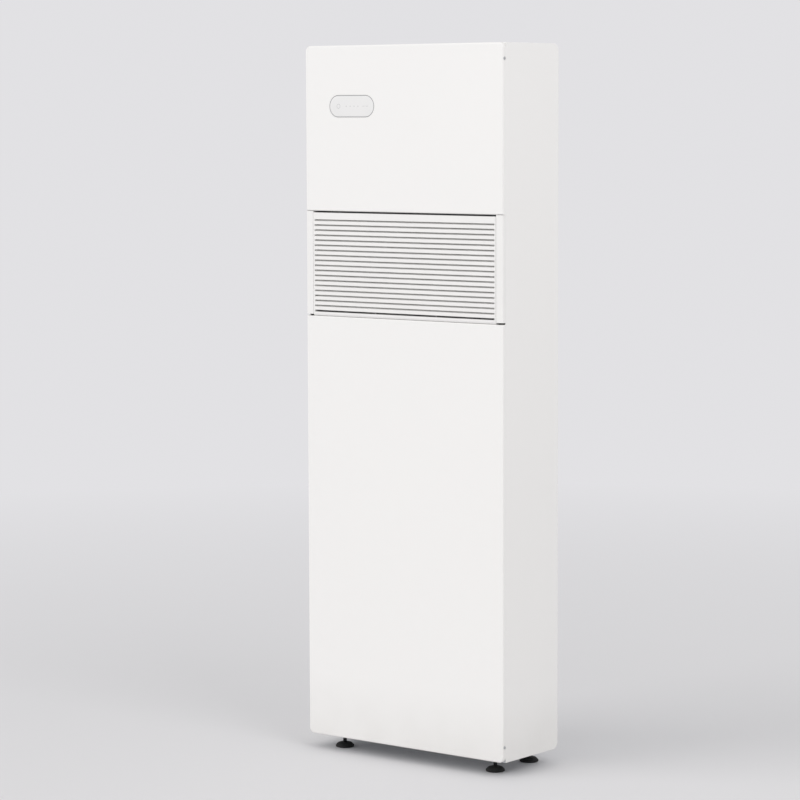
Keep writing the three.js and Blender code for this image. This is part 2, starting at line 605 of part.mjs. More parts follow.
// A box behind the window, centred on it.
function displayBox(wall, y0, y1) {
  const [hw, hh] = displayHalf(wall);
  return box(WINDOW_X - hw, WINDOW_X + hw, y0, y1, WINDOW_Z - hh, WINDOW_Z + hh);
}

function displayHousing() {
  const middle = DISPLAY_Y + DISPLAY_BOX_D / 2;
  const lensSeat = prism(stadium(SEAT), 'y', DISPLAY_Y - OVER, YF + LENS_T + SEAT, WINDOW_STEPS);
  const throat = prism(stadium(-LENS_LEDGE), 'y', DISPLAY_Y - OVER, middle + OVER, WINDOW_STEPS);
  const well = displayBox(DISPLAY_WALL, middle, DISPLAY_Y + DISPLAY_BOX_D + OVER);
  return cut(displayBox(0, DISPLAY_Y, DISPLAY_Y + DISPLAY_BOX_D), lensSeat, throat, well);
}
place('display_housing', 'dark_plastic', displayHousing());

function displayBoard() {
  const wall = DISPLAY_WALL + SEAT;
  const y0 = DISPLAY_Y + DISPLAY_BOX_D / 2 + SEAT;
  const y1 = y0 + BOARD_T;
  const right = WINDOW_X + displayHalf(wall)[0] - DISPLAY_PLUG.in;
  const plug = box(right - DISPLAY_PLUG.w, right, y0, y1 + DISPLAY_PLUG.d,
    WINDOW_Z - DISPLAY_PLUG.h / 2, WINDOW_Z + DISPLAY_PLUG.h / 2);
  const chip = box(WINDOW_X - DISPLAY_CHIP.w / 2, WINDOW_X + DISPLAY_CHIP.w / 2, y0, y1 + DISPLAY_CHIP.d,
    WINDOW_Z - DISPLAY_CHIP.w / 2, WINDOW_Z + DISPLAY_CHIP.w / 2);
  return join(displayBox(wall, y0, y1), plug, chip);
}
place('display_board', 'board', displayBoard());

// ---------- top outlet ----------
function outletFrame() {
  const w = OUTLET_W / 2;
  const outer = box(-w - OUTLET_WALL, w + OUTLET_WALL, OUTLET_FRONT - OUTLET_WALL, OUTLET_BACK + OUTLET_WALL,
    FRAME_BOTTOM, FRAME_TOP);
  const throat = box(-w, w, OUTLET_FRONT, OUTLET_BACK, FRAME_BOTTOM - OVER, FRAME_TOP + OVER);
  const pins = rod('x', HINGE_PIN_R + HINGE_PIN_CLEAR, -w - OUTLET_WALL - OVER, w + OUTLET_WALL + OVER,
    FLAP_AXIS.y, FLAP_AXIS.z);
  const guards = [];
  for (let i = 1; i <= GUARD_COUNT; i += 1) {
    const x = -w + (2 * w * i) / (GUARD_COUNT + 1);
    guards.push(box(x - GUARD_T / 2, x + GUARD_T / 2, OUTLET_FRONT - OVER, OUTLET_BACK + OVER,
      FRAME_BOTTOM, FRAME_BOTTOM + GUARD_H));
  }
  return join(cut(outer, throat, pins), guards);
}
place('outlet_frame', 'white_plastic', outletFrame());

function outletFlap() {
  const w = OUTLET_W / 2 - FLAP_GAP;
  const barrel = rod('x', HINGE_R, -w, w, FLAP_AXIS.y, FLAP_AXIS.z, FACETS.round);
  const y0 = OUTLET_FRONT + FLAP_GAP;
  const blade = prism(polygon([
    [y0, Z1], [y0, Z1 - FLAP_T / 2], [y0 + FLAP_T, Z1 - FLAP_T], [FLAP_AXIS.y, Z1 - FLAP_T], [FLAP_AXIS.y, Z1],
  ]), 'x', -w, w);
  const pins = rod('x', HINGE_PIN_R, -w - FLAP_GAP - OUTLET_WALL, w + FLAP_GAP + OUTLET_WALL,
    FLAP_AXIS.y, FLAP_AXIS.z);
  return join(blade, barrel, pins);
}
place('outlet_flap', 'white_plastic', outletFlap());

const flapMotorX = -OUTLET_W / 2 - OUTLET_WALL - SEAT;
place('flap_motor', 'dark_plastic', box(flapMotorX - FLAP_MOTOR.w, flapMotorX,
  FLAP_AXIS.y + FLAP_MOTOR.y0, FLAP_AXIS.y + FLAP_MOTOR.y1,
  FLAP_AXIS.z + FLAP_MOTOR.z0, FLAP_AXIS.z + FLAP_MOTOR.z1));

// ---------- tangential blower ----------
// An arc of the blower's scroll: its radius grows with the angle round the rotor.
function spiral(from, to, r0, r1, steps = SPIRAL_STEPS) {
  return Array.from({ length: steps + 1 }, (_, i) => {
    const t = i / steps;
    const angle = rad(from + (to - from) * t);
    const r = r0 + (r1 - r0) * t;
    return [ROTOR_Y + r * Math.cos(angle), ROTOR_Z + r * Math.sin(angle)];
  });
}
const SPIRAL_STEPS = 12;

function blowerHousing() {
  const r0 = ROTOR_R + SCROLL_GAP;
  const r1 = r0 + SCROLL_GROW;
  const inside = spiral(SCROLL_FROM, SCROLL_TO, r0, r1);
  const outside = spiral(SCROLL_FROM, SCROLL_TO, r0 + DUCT_WALL, r1 + DUCT_WALL);
  const shoulder = inside[inside.length - 1][1] + 2 * SCROLL_GROW;
  const rear = polygon([
    ...inside, [OUTLET_BACK, shoulder], [OUTLET_BACK, HOUSING_TOP],
    [OUTLET_BACK + DUCT_WALL, HOUSING_TOP], [OUTLET_BACK + DUCT_WALL, shoulder], ...outside.reverse(),
  ]);
  const [tip] = spiral(TONGUE_ANGLE, TONGUE_ANGLE, ROTOR_R + TONGUE_GAP, ROTOR_R + TONGUE_GAP, 1);
  const bendZ = tip[1] + TONGUE_RISE;
  const tongue = polygon([
    tip, [OUTLET_FRONT, bendZ], [OUTLET_FRONT, HOUSING_TOP], [OUTLET_FRONT - DUCT_WALL, HOUSING_TOP],
    [OUTLET_FRONT - DUCT_WALL, bendZ], [tip[0] - DUCT_WALL, tip[1]],
  ]);
  const cheek = polygon([
    [tip[0] - DUCT_WALL, ROTOR_Z - r0], [ROTOR_Y, ROTOR_Z - r0 - DUCT_WALL],
    ...spiral(SCROLL_FROM, SCROLL_TO, r0 + DUCT_WALL, r1 + DUCT_WALL),
    [OUTLET_BACK + DUCT_WALL, shoulder], [OUTLET_BACK + DUCT_WALL, HOUSING_TOP],
    [OUTLET_FRONT - DUCT_WALL, HOUSING_TOP], [OUTLET_FRONT - DUCT_WALL, bendZ], [tip[0] - DUCT_WALL, tip[1]],
  ]);
  const w = HOUSING_X;
  const holes = [-1, 1].map((s) => (
    rod('x', BEARING_R + SEAT, ...span(s, w - DUCT_WALL - OVER, w + OVER), ROTOR_Y, ROTOR_Z, FACETS.round)));
  return cut(join(
    prism(rear, 'x', -w, w), prism(tongue, 'x', -w, w),
    prism(cheek, 'x', -w, -w + DUCT_WALL), prism(cheek, 'x', w - DUCT_WALL, w),
  ), holes);
}
place('blower_housing', 'foam', blowerHousing());

// One forward curved blade: a thin arc between the inner and the outer radius.
const BLADE_STEPS = 2;
function bladeShape(inner, outer, thickness, lean, a, b, turn) {
  const line = (offset) => Array.from({ length: BLADE_STEPS + 1 }, (_, i) => {
    const t = i / BLADE_STEPS;
    const r = inner + (outer - inner) * t;
    const angle = rad(turn + lean * t * t) + offset / r;
    return [a + r * Math.cos(angle), b + r * Math.sin(angle)];
  });
  return polygon([...line(-thickness / 2), ...line(thickness / 2).reverse()]);
}

function blowerRotor() {
  const half = ROTOR_L / 2;
  const turned = (r, x0, x1, sides) => rod('x', r, x0, x1, ROTOR_Y, ROTOR_Z, sides);
  const inDisc = half - ROTOR_DISC_T / 2;
  const parts = [];
  for (let i = 0; i < ROTOR_BLADES; i += 1) {
    parts.push(prism(bladeShape(ROTOR_INNER, ROTOR_R - BLADE_IN, ROTOR_BLADE_T, ROTOR_LEAN, ROTOR_Y, ROTOR_Z,
      (TURN * i) / ROTOR_BLADES), 'x', -inDisc, inDisc));
  }
  for (let i = 0; i < ROTOR_DISCS; i += 1) {
    const x = -half + ((ROTOR_L - ROTOR_DISC_T) * i) / (ROTOR_DISCS - 1);
    const disc = turned(ROTOR_R, x, x + ROTOR_DISC_T, FACETS.large);
    const open = i > 0 && i < ROTOR_DISCS - 1;
    const eye = () => turned(ROTOR_INNER - ROTOR_DISC_T, x - OVER, x + ROTOR_DISC_T + OVER, FACETS.large);
    parts.push(open ? cut(disc, eye()) : disc);
  }
  parts.push(turned(SHAFT_R, -HOUSING_X - BLOWER_MOTOR_L / 2, -inDisc, FACETS.shaft));
  parts.push(turned(SHAFT_R, inDisc, HOUSING_X + BEARING_L / 2, FACETS.shaft));
  return join(parts);
}
place('blower_rotor', 'dark_plastic', blowerRotor());

function blowerMotor() {
  const x1 = -HOUSING_X - SEAT;
  const can = rod('x', BLOWER_MOTOR_R, x1 - BLOWER_MOTOR_L, x1, ROTOR_Y, ROTOR_Z, FACETS.round);
  return cut(can, rod('x', SHAFT_R + SEAT, x1 - BLOWER_MOTOR_L / 2 - SEAT, x1 + OVER, ROTOR_Y, ROTOR_Z));
}
place('blower_motor', 'steel', blowerMotor());

const bearingX = HOUSING_X - DUCT_WALL;
place('blower_bearing', 'black_rubber', cut(
  rod('x', BEARING_R, bearingX, bearingX + BEARING_L, ROTOR_Y, ROTOR_Z, FACETS.round),
  rod('x', SHAFT_R + SEAT, bearingX - OVER, bearingX + BEARING_L + OVER, ROTOR_Y, ROTOR_Z)));

// ---------- room side coil and tray ----------
// Fins stand out on both faces of a thin web: a comb outline drawn up the height of the coil.
function finned(a0, a1, b0, b1, pitch, fin, web, z0, z1, alongX) {
  const mid = (b0 + b1) / 2;
  const count = Math.round((a1 - a0 - fin) / pitch);
  const step = (a1 - a0 - fin) / count;
  const edge = (face, valley) => {
    const line = [];
    for (let i = 0; i <= count; i += 1) {
      const a = a0 + i * step;
      if (i) line.push([a, valley]);
      line.push([a, face], [a + fin, face]);
      if (i < count) line.push([a + fin, valley]);
    }
    return line;
  };
  const outline = [...edge(b0, mid - web / 2), ...edge(b1, mid + web / 2).reverse()];
  return prism(polygon(outline.map(([a, b]) => (alongX ? [a, b] : [b, a]))), 'z', z0, z1);
}

function returnBend(x, s, y, z) {
  const at = (dx, dz) => new THREE.Vector3(x + s * dx, y, z + dz);
  const stops = Array.from({ length: BEND_STEPS + 1 }, (_, i) => {
    const angle = rad(-90 + (180 * i) / BEND_STEPS);
    return at(BEND_OUT + BEND_R * Math.cos(angle), BEND_R * Math.sin(angle));
  });
  return sweep([at(-EVAP.fin, -BEND_R), ...stops, at(-EVAP.fin, BEND_R)], BEND_TUBE, FACETS.pipe);
}

function evaporator() {
  const hw = EVAP_W / 2;
  const fins = finned(-hw, hw, EVAP.y0, EVAP.y1, EVAP.pitch, EVAP.fin, EVAP.web, EVAP_Z, EVAP_TOP, true);
  const mid = (EVAP.y0 + EVAP.y1) / 2;
  const bends = [];
  for (let i = 0; i < BEND_COUNT; i += 1) {
    [-1, 1].forEach((s) => bends.push(returnBend(s * hw, s, mid, EVAP_Z + BEND_PITCH * (i + 1))));
  }
  return join(fins, bends);
}
place('evaporator_coil', 'aluminium', evaporator());

function condensateTray() {
  const y0 = (EVAP.y0 + EVAP.y1) / 2 - TRAY_D / 2;
  const outer = box(-TRAY_W / 2, TRAY_W / 2, y0, y0 + TRAY_D, TRAY_Z, TRAY_Z + TRAY_H);
  const well = box(-TRAY_W / 2 + TRAY_WALL, TRAY_W / 2 - TRAY_WALL, y0 + TRAY_WALL, y0 + TRAY_D - TRAY_WALL,
    TRAY_Z + TRAY_WALL, TRAY_Z + TRAY_H + OVER);
  return cut(outer, well, rod('z', TRAY_DRAIN_R, TRAY_Z - OVER, TRAY_Z + 2 * TRAY_WALL, DRAIN.x, DRAIN.y));
}
place('condensate_tray', 'foam', condensateTray());

// The partition and the shelf span the cabinet and let the pipes through.
function deck(z0, z1, holes) {
  const plate = box(-IN_X, IN_X, YI + SHEET + SEAT, BACK_Y, z0, z1);
  return cut(plate, holes.map(([x, y, r]) => rod('z', r, z0 - OVER, z1 + OVER, x, y)));
}
place('section_partition', 'foam', deck(PARTITION_Z, PARTITION_TOP, [
  [SUCTION_X, SUCTION.y, PIPE_HOLE], [LIQUID.x, LIQUID.y, PIPE_HOLE], [DRAIN.x, DRAIN.y, DRAIN.r + SEAT]]));
place('machine_shelf', 'zinc_sheet', deck(SHELF_Z, SHELF_TOP, [
  [SUCTION_X, SUCTION.y, PIPE_HOLE], [COMP.x, COMP.y, PIPE_HOLE], [DRAIN.x, DRAIN.y, DRAIN.r + SEAT]]));

// ---------- outside air half ----------
place('condenser_coil', 'aluminium', finned(-COND.d / 2, COND.d / 2, COND.x0, COND.x1, COND.pitch, COND.fin,
  COND.web, SHELF_TOP + SEAT, PARTITION_Z - SEAT, false));

// Fan scroll: a spiral in the (x, z) plane whose mouth opens towards the coil.
function scrollOutline(grow, mouthX) {
  const steps = 2 * SPIRAL_STEPS;
  const points = Array.from({ length: steps + 1 }, (_, i) => {
    const t = i / steps;
    const angle = rad(FAN_CASE.from + (FAN_CASE.to - FAN_CASE.from) * t);
    const r = FAN_R + FAN_CASE.start + FAN_CASE.grow * t + grow;
    return [DUCT_X + r * Math.cos(angle), DUCT_Z + r * Math.sin(angle)];
  });
  const top = points[points.length - 1][1];
  const lip = points[0][1] - 2 * grow;
  points[0] = [points[0][0], lip];
  return polygon([...points, [mouthX, top], [mouthX, lip]]);
}

const fanRod = (r, y0, y1, sides) => rod('y', r, y0, y1, DUCT_X, DUCT_Z, sides);

function fanScroll() {
  const { y0, wall } = FAN_CASE;
  const outer = prism(scrollOutline(wall, FAN_OUTLET_X), 'y', y0, FAN_MOUTH_Y);
  const inner = prism(scrollOutline(0, FAN_OUTLET_X - OVER), 'y', y0 + wall, FAN_MOUTH_Y - wall);
  const inlet = fanRod(FAN_INNER, FAN_MOUTH_Y - 2 * wall, FAN_MOUTH_Y + OVER, FACETS.large);
  return cut(outer, inner, inlet, fanRod(BEARING_R, y0 - OVER, y0 + 2 * wall, FACETS.round));
}
place('outdoor_fan_scroll', 'grey_plastic', fanScroll());

function fanWheel() {
  const y0 = FAN_CASE.y0 + FAN_CASE.wall + FAN_CASE.gap;
  const y1 = y0 + FAN_L;
  const parts = [fanRod(FAN_R, y0, y0 + FAN_PLATE, FACETS.large)];
  for (let i = 0; i < FAN_BLADES; i += 1) {
    parts.push(prism(bladeShape(FAN_INNER, FAN_R - BLADE_IN, FAN_BLADE_T, FAN_LEAN, DUCT_X, DUCT_Z,
      (TURN * i) / FAN_BLADES), 'y', y0 + FAN_PLATE / 2, y1 - FAN_PLATE / 2));
  }
  parts.push(cut(fanRod(FAN_R, y1 - FAN_PLATE, y1, FACETS.large),
    fanRod(FAN_INNER + FAN_BLADE_T, y1 - 2 * FAN_PLATE, y1 + OVER, FACETS.large)));
  const { r, rim, nose, h } = FAN_HUB;
  parts.push(revolve([[0, 0], [nose, 0], [r, rim], [r, h], [0, h]], 'y', DUCT_X, DUCT_Z, y0 + h, FACETS.round));
  parts.push(fanRod(SHAFT_R, FAN_CASE.y0 - FAN_MOTOR_L / 2, y0 + FAN_PLATE, FACETS.shaft));
  return join(parts);
}
place('outdoor_fan_wheel', 'dark_plastic', fanWheel());

function fanMotor() {
  const y1 = FAN_CASE.y0 - SEAT;
  const ears = MOUNT_ANGLES.map((angle) => {
    const reach = FAN_MOTOR_R + FAN_MOTOR_EAR.out;
    return rod('y', FAN_MOTOR_EAR.r, y1 - FAN_MOTOR_EAR.t, y1, DUCT_X + reach * Math.cos(rad(angle)),
      DUCT_Z + reach * Math.sin(rad(angle)), FACETS.small);
  });
  return cut(join(fanRod(FAN_MOTOR_R, y1 - FAN_MOTOR_L, y1, FACETS.round), ears),
    fanRod(SHAFT_R + SEAT, y1 - FAN_MOTOR_L / 2 - SEAT, y1 + OVER, FACETS.shaft));
}
place('outdoor_fan_motor', 'steel', fanMotor());

// The collars take the wall ducts: a short tube through the rear panel with a flange inside.
function collar(x) {
  const [y1, yFlange] = [REAR_PANEL_Y, BACK_Y];
  const y0 = FAN_MOUTH_Y + SEAT;            // the intake collar carries the fan scroll
  const tube = rod('y', COLLAR_R, y0, y1, x, DUCT_Z, FACETS.large);
  const flange = rod('y', COLLAR_R + COLLAR_FLANGE, yFlange - COLLAR_T, yFlange, x, DUCT_Z, FACETS.large);
  return cut(join(tube, flange), rod('y', COLLAR_R - COLLAR_T, y0 - OVER, y1 + OVER, x, DUCT_Z, FACETS.large));
}
place('exhaust_duct_collar', 'grey_plastic', collar(-DUCT_X));
place('intake_duct_collar', 'grey_plastic', collar(DUCT_X));

// ---------- refrigerating side ----------
// A welded shell with a dome at each end; the profile gives shares of the radius and of the dome's height.
const DOME = [[0, 0], [0.55, 0.12], [0.87, 0.45], [1, 1]];
function domed(x, y, z0, height, r, dome, sides) {
  const bottom = DOME.map(([a, h]) => [a * r, z0 + h * dome]);
  const top = DOME.map(([a, h]) => [a * r, z0 + height - h * dome]).reverse();
  return revolve([...bottom, ...top], 'z', x, y, 0, sides);
}

const mountAt = (angle) => [
  COMP.x + MOUNT_PITCH_R * Math.cos(rad(angle)), COMP.y + MOUNT_PITCH_R * Math.sin(rad(angle))];
const COMP_TOP = COMP.z + COMP.h;

function compressor() {
  const shell = domed(COMP.x, COMP.y, COMP.z, COMP.h, COMP.r, COMP.dome, FACETS.round);
  const foot = new THREE.Shape();
  MOUNT_ANGLES.forEach((angle) => {
    foot.absarc(...mountAt(angle), COMP.footR - MOUNT_PITCH_R, rad(angle - 60), rad(angle + 60));
  });
  const plate = prism(foot, 'z', COMP.z, COMP.z + COMP.foot);
  const root = COMP_TOP - COMP.dome / 2;
  const cap = rod('z', COMP_CAP.r, root, COMP_TOP + COMP_CAP.h, COMP.x, COMP.y - COMP_CAP.out);
  const stud = rod('z', COMP_STUD.r, root, COMP_TOP + COMP_STUD.h, COMP.x, COMP.y, FACETS.small);
  const holes = MOUNT_ANGLES.map((angle) => (
    rod('z', MOUNT_NECK_R + SEAT, COMP.z - OVER, COMP.z + COMP.foot + OVER, ...mountAt(angle))));
  return cut(join(shell, plate, cap, stud), holes);
}
place('compressor', 'black_enamel', compressor());

MOUNT_ANGLES.forEach((angle, i) => {
  const [z0, z1] = [PAN_TOP + SEAT, COMP.z - SEAT];
  const top = z1 + COMP.foot + 2 * SEAT;
  place(`compressor_mount_${i + 1}`, 'black_rubber', revolve([
    [0, z0], [MOUNT_R, z0], [MOUNT_R - MOUNT_WAIST, (z0 + z1) / 2], [MOUNT_R, z1], [MOUNT_NECK_R, z1],
    [MOUNT_NECK_R, top], [0, top],
  ], 'z', ...mountAt(angle), 0, FACETS.shaft));
});

function accumulator() {
  const shell = domed(ACCU.x, COMP.y, ACCU.z, ACCU.h, ACCU.r, ACCU.dome, FACETS.shaft);
  const reach = COMP.x - COMP.r - SEAT;
  const low = ACCU.z - ACCU.elbow;
  const elbow = pipe([[ACCU.x, COMP.y, ACCU.z + ACCU.dome / 2], [ACCU.x, COMP.y, low], [reach, COMP.y, low]],
    PIPE_R, PIPE_BEND);
  const middle = ACCU.z + ACCU.h / 2;
  const strap = box(ACCU.x + ACCU.r - BEND_OUT, reach, COMP.y - ACCU.strapW / 2, COMP.y + ACCU.strapW / 2,
    middle, middle + ACCU.strap);
  return join(shell, elbow, strap);
}
place('suction_accumulator', 'black_enamel', accumulator());

const dischargeZ = SHELF_TOP + DISCHARGE_RISE;
place('discharge_pipe', 'copper', pipe([
  [COMP.x, COMP.y, COMP_TOP + COMP_STUD.h + SEAT], [COMP.x, COMP.y, dischargeZ],
  [COND.x1 + SEAT, COMP.y, dischargeZ],
], PIPE_R, PIPE_BEND));

const suctionTop = EVAP_TOP - SUCTION_DROP.coil;
const suctionLow = SHELF_Z - SUCTION_DROP.shelf;
place('suction_pipe', 'copper', pipe([
  [EVAP_W / 2 + SEAT, SUCTION.y, suctionTop], [SUCTION_X, SUCTION.y, suctionTop],
  [SUCTION_X, SUCTION.y, suctionLow], [ACCU.x, SUCTION.y, suctionLow],
  [ACCU.x, COMP.y, suctionLow], [ACCU.x, COMP.y, ACCU.z + ACCU.h + SEAT],
], PIPE_R, PIPE_BEND));

place('liquid_pipe', 'copper', pipe([
  [COND.x0 - SEAT, LIQUID.y, PARTITION_Z - LIQUID.below], [LIQUID.x, LIQUID.y, PARTITION_Z - LIQUID.below],
  [LIQUID.x, LIQUID.y, PARTITION_Z + LIQUID.above], [LIQUID.x, EVAP.y1 + SEAT, PARTITION_Z + LIQUID.above],
], LIQUID_R, PIPE_BEND));

place('condensate_drain_pipe', 'grey_plastic',
  rod('z', DRAIN.r, Z0 - DRAIN.below, TRAY_Z - SEAT, DRAIN.x, DRAIN.y));

// ---------- electrics ----------
function controlBox() {
  const c = CONTROL;
  return cut(box(-IN_X, c.x1, c.y0, c.y1, c.z0, c.z1),
    box(SHEET - IN_X, c.x1 - SHEET, c.y0 - OVER, c.y1 - SHEET, c.z0 + SHEET, c.z1 - SHEET));
}
place('control_box', 'zinc_sheet', controlBox());
place('control_box_cover', 'zinc_sheet', box(-IN_X, CONTROL.x1, CONTROL.y0 - SEAT - SHEET, CONTROL.y0 - SEAT,
  CONTROL.z0, CONTROL.z1));

function controlBoard() {
  const back = CONTROL.y1 - SHEET - SEAT;
  const [x0, x1] = [BOARD.inX - IN_X, CONTROL.x1 - BOARD.inX];
  const [z0, z1] = [CONTROL.z0 + BOARD.inZ, CONTROL.z1 - BOARD.inZ];
  const face = back - BOARD.gap - BOARD_T;        // the side that carries the components
  const root = face + BOARD_T / 2;
  const plate = box(x0, x1, face, face + BOARD_T, z0, z1);
  const posts = [x0 + BOARD.postIn, x1 - BOARD.postIn].flatMap((x) => (
    [z0 + BOARD.postIn, z1 - BOARD.postIn].map((z) => rod('y', BOARD.post, root, back, x, z, FACETS.pipe))));
  const cans = Array.from({ length: CAPACITOR.count }, (_, i) => rod('y', CAPACITOR.r, face - CAPACITOR.h, root,
    x0 + CAPACITOR.x + CAPACITOR.pitch * i, z0 + CAPACITOR.z, FACETS.small));
  const [sinkX0, sinkX1, sinkTop] = [x0 + HEAT_SINK.in, x1 - HEAT_SINK.in, z1 - HEAT_SINK.top];
  const sink = box(sinkX0, sinkX1, face - HEAT_SINK.d, root, sinkTop - HEAT_SINK.h, sinkTop);
  const grooves = [];
  for (let x = sinkX0 + HEAT_SINK.root; x + HEAT_SINK.slot < sinkX1; x += HEAT_SINK.pitch) {
    grooves.push(box(x, x + HEAT_SINK.slot, face - HEAT_SINK.d - OVER, face - HEAT_SINK.root,
      sinkTop - HEAT_SINK.h - OVER, sinkTop + OVER));
  }
  const relay = box(x1 - RELAY.in - RELAY.w, x1 - RELAY.in, face - RELAY.d, root, z0 + RELAY.z,
    z0 + RELAY.z + RELAY.h);
  return join(plate, posts, cans, cut(sink, grooves), relay);
}
place('control_board', 'board', controlBoard());

place('cable_gland', 'black_rubber', revolve([
  [0, -GLAND.below], [GLAND.nose, -GLAND.below], [GLAND.nut, -GLAND.lip], [GLAND.nut, -SEAT],
  [GLAND.r, -SEAT], [GLAND.r, GLAND.above], [0, GLAND.above],
], 'z', GLAND.x, GLAND.y, Z0, FACETS.shaft));

// ---------- levelling feet ----------
[['front', FRONT_FOOT_Y], ['rear', REAR_FOOT_Y]].forEach(([end, y]) => SIDES.forEach(([side, s]) => {
  const x = s * FOOT_X;
  place(`foot_pad_${end}_${side}`, 'black_rubber', revolve([
    [0, 0], [FOOT_R, 0], [FOOT_R, FOOT_RIM], [FOOT_TOP_R, FOOT_H], [0, FOOT_H],
  ], 'z', x, y, 0, FACETS.round));
  place(`foot_stem_${end}_${side}`, 'steel',
    rod('z', STEM_R, FOOT_H + SEAT, PAN_TOP + BOSS_H + STEM_SPARE, x, y, FACETS.small));
}));

export default group;
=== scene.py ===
import json
import math

import bmesh
import bpy
from mathutils import Matrix, Vector

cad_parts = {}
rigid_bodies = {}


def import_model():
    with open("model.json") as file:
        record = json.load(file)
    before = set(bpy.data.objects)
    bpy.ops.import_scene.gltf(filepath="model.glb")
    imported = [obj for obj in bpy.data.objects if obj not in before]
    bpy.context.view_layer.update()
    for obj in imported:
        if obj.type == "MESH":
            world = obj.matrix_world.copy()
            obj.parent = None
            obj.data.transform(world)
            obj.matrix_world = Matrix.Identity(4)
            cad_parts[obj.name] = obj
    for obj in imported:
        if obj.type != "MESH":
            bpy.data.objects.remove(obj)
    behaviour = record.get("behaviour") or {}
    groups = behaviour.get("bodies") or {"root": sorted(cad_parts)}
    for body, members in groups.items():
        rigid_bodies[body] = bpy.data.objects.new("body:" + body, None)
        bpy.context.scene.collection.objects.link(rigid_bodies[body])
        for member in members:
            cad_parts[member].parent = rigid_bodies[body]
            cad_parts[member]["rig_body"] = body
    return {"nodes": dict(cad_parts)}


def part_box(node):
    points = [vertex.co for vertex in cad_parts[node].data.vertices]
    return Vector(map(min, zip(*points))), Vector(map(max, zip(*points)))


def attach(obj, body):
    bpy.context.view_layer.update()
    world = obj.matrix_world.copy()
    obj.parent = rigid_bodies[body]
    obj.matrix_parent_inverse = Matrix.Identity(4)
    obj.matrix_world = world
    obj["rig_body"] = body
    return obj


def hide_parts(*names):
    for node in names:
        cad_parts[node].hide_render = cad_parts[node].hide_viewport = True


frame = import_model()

bl_info = {
    "name": "Floor standing air conditioner",
    "version": (1, 0, 0),
    "blender": (4, 5, 0),
    "location": "3D View > Sidebar > Air conditioner",
    "description": "Finishes and fine detail for the packed air conditioner, and a plain stage",
    "category": "Object",
}

MM = 0.001
TURN = 2 * math.pi
NEAR = 2e-5          # two places closer than this are the same one
MERGE = 1e-6         # corners closer than this are merged
OVER = 1 * MM        # how far a cutting shape runs past what it cuts
CREASE = 35          # degrees between faces from which an edge is shaded sharp
SHARP = 40           # degrees between faces from which a CAD node's edge can be rounded
AXES = {"x": Vector((1, 0, 0)), "y": Vector((0, 1, 0)), "z": Vector((0, 0, 1))}
SIDES = ("left", "right")
CABINET = "cabinet"

# Places and sizes that aren't in a node's box, as the CAD source has them.
BEAD_HEIGHTS = (1340, 1200, 1060, 920, 780, 420, 280, 140)     # of the rear panel's beads, in mm
BOARD = 1.6 * MM                 # thickness of a circuit board
BOARD_FACE = 30.9 * MM           # y of the power board's front
SHAFT = 4 * MM                   # radius of the blower's and the fan's shafts
ROTOR_INNER = 35 * MM            # inner radius of the blower's blades
ROTOR_END = 190 * MM             # from the rotor's middle to its ends
DISC = 2 * MM                    # thickness of the rotor's discs
ROTOR_LEAN, WHEEL_LEAN = 9, 14   # degrees that the blades lean forward
EVAPORATOR_END = 205 * MM        # from the middle of the room coil to its ends
CONDENSER_TURNS = 14 * MM        # from the outside coil's ends, where its tubes turn, to its fins
END_PLATE = 1.2 * MM             # thickness of a coil's end plates
TUBE_ROWS = 50 * MM              # from one hairpin tube of a coil to the next
HAIRPIN = 10 * MM                # half the width of a hairpin
COLLAR_FLANGE = 8 * MM           # how far a duct collar's flange stands out
WHEEL_BACK = 7.5 * MM            # y of the fan wheel's back plate
FAN_MOTOR, FAN_EARS = 42 * MM, 48 * MM               # radius of the fan motor and of its ring of ears
COMPRESSOR = (118 * MM, 4 * MM, 297 * MM)            # its axis and its top
ACCUMULATOR = (28 * MM, 4 * MM)                      # its axis
MOUNTS = 62 * MM                 # radius of the ring of rubber mounts
MOUNT_TOP = 46.7 * MM            # z of the shoulders that carry the compressor
BEND = 14 * MM                   # bend radius of the refrigerant pipes
THIRDS = (90, 210, 330)          # degrees: three mounts or ears in a ring
PIPE_RUNS = {                    # radius and corners, in mm
    "discharge_pipe": (5, ((118, 4, 301.3), (118, 4, 391.2), (16.3, 4, 391.2))),
    "suction_pipe": (5, ((205.3, -46, 1104.6), (236, -46, 1104.6), (236, -46, 332), (28, -46, 332),
                         (28, 4, 332), (28, 4, 262.3))),
    "liquid_pipe": (3.5, ((-22.3, 0, 800), (-52, 0, 800), (-52, 0, 905), (-52, -29.7, 905))),
}


# ---------- shapes ----------
def spot(axis, along, a, b):
    """A point given by its place along an axis and its two coordinates across it."""
    return {"x": Vector((along, a, b)), "y": Vector((a, along, b)), "z": Vector((a, b, along))}[axis]


def mm(*sizes):
    """A vector given in millimetres."""
    return Vector(sizes) * MM


def extent(node):
    """A CAD node's lowest and highest corners and its middle."""
    low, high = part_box(node)
    return low, high, (low + high) / 2


def thirds(a, b, reach):
    """The three places in a ring round (a, b)."""
    return [(a + reach * math.cos(turn), b + reach * math.sin(turn)) for turn in map(math.radians, THIRDS)]


def profile(*stretches):
    """An outline to turn. Each stretch has an origin (radius, place) and points in mm from it."""
    return [(radius + r * MM, place + along * MM)
            for (radius, place), points in stretches for r, along in points]


def near(a, b):
    return abs(a - b) < NEAR


def lies_at(part, axis, place):
    """Whether all corners of an edge or face are at one place along an axis."""
    return all(near(getattr(v.co, axis), place) for v in part.verts)


def runs_along(edge, axis):
    way = edge.verts[1].co - edge.verts[0].co
    return abs(abs(way.normalized().dot(AXES[axis])) - 1) < 1e-4


def edges_of(verts):
    return {e for v in verts for e in v.link_edges}


def verts_in(geometry):
    return [v for v in geometry if isinstance(v, bmesh.types.BMVert)]


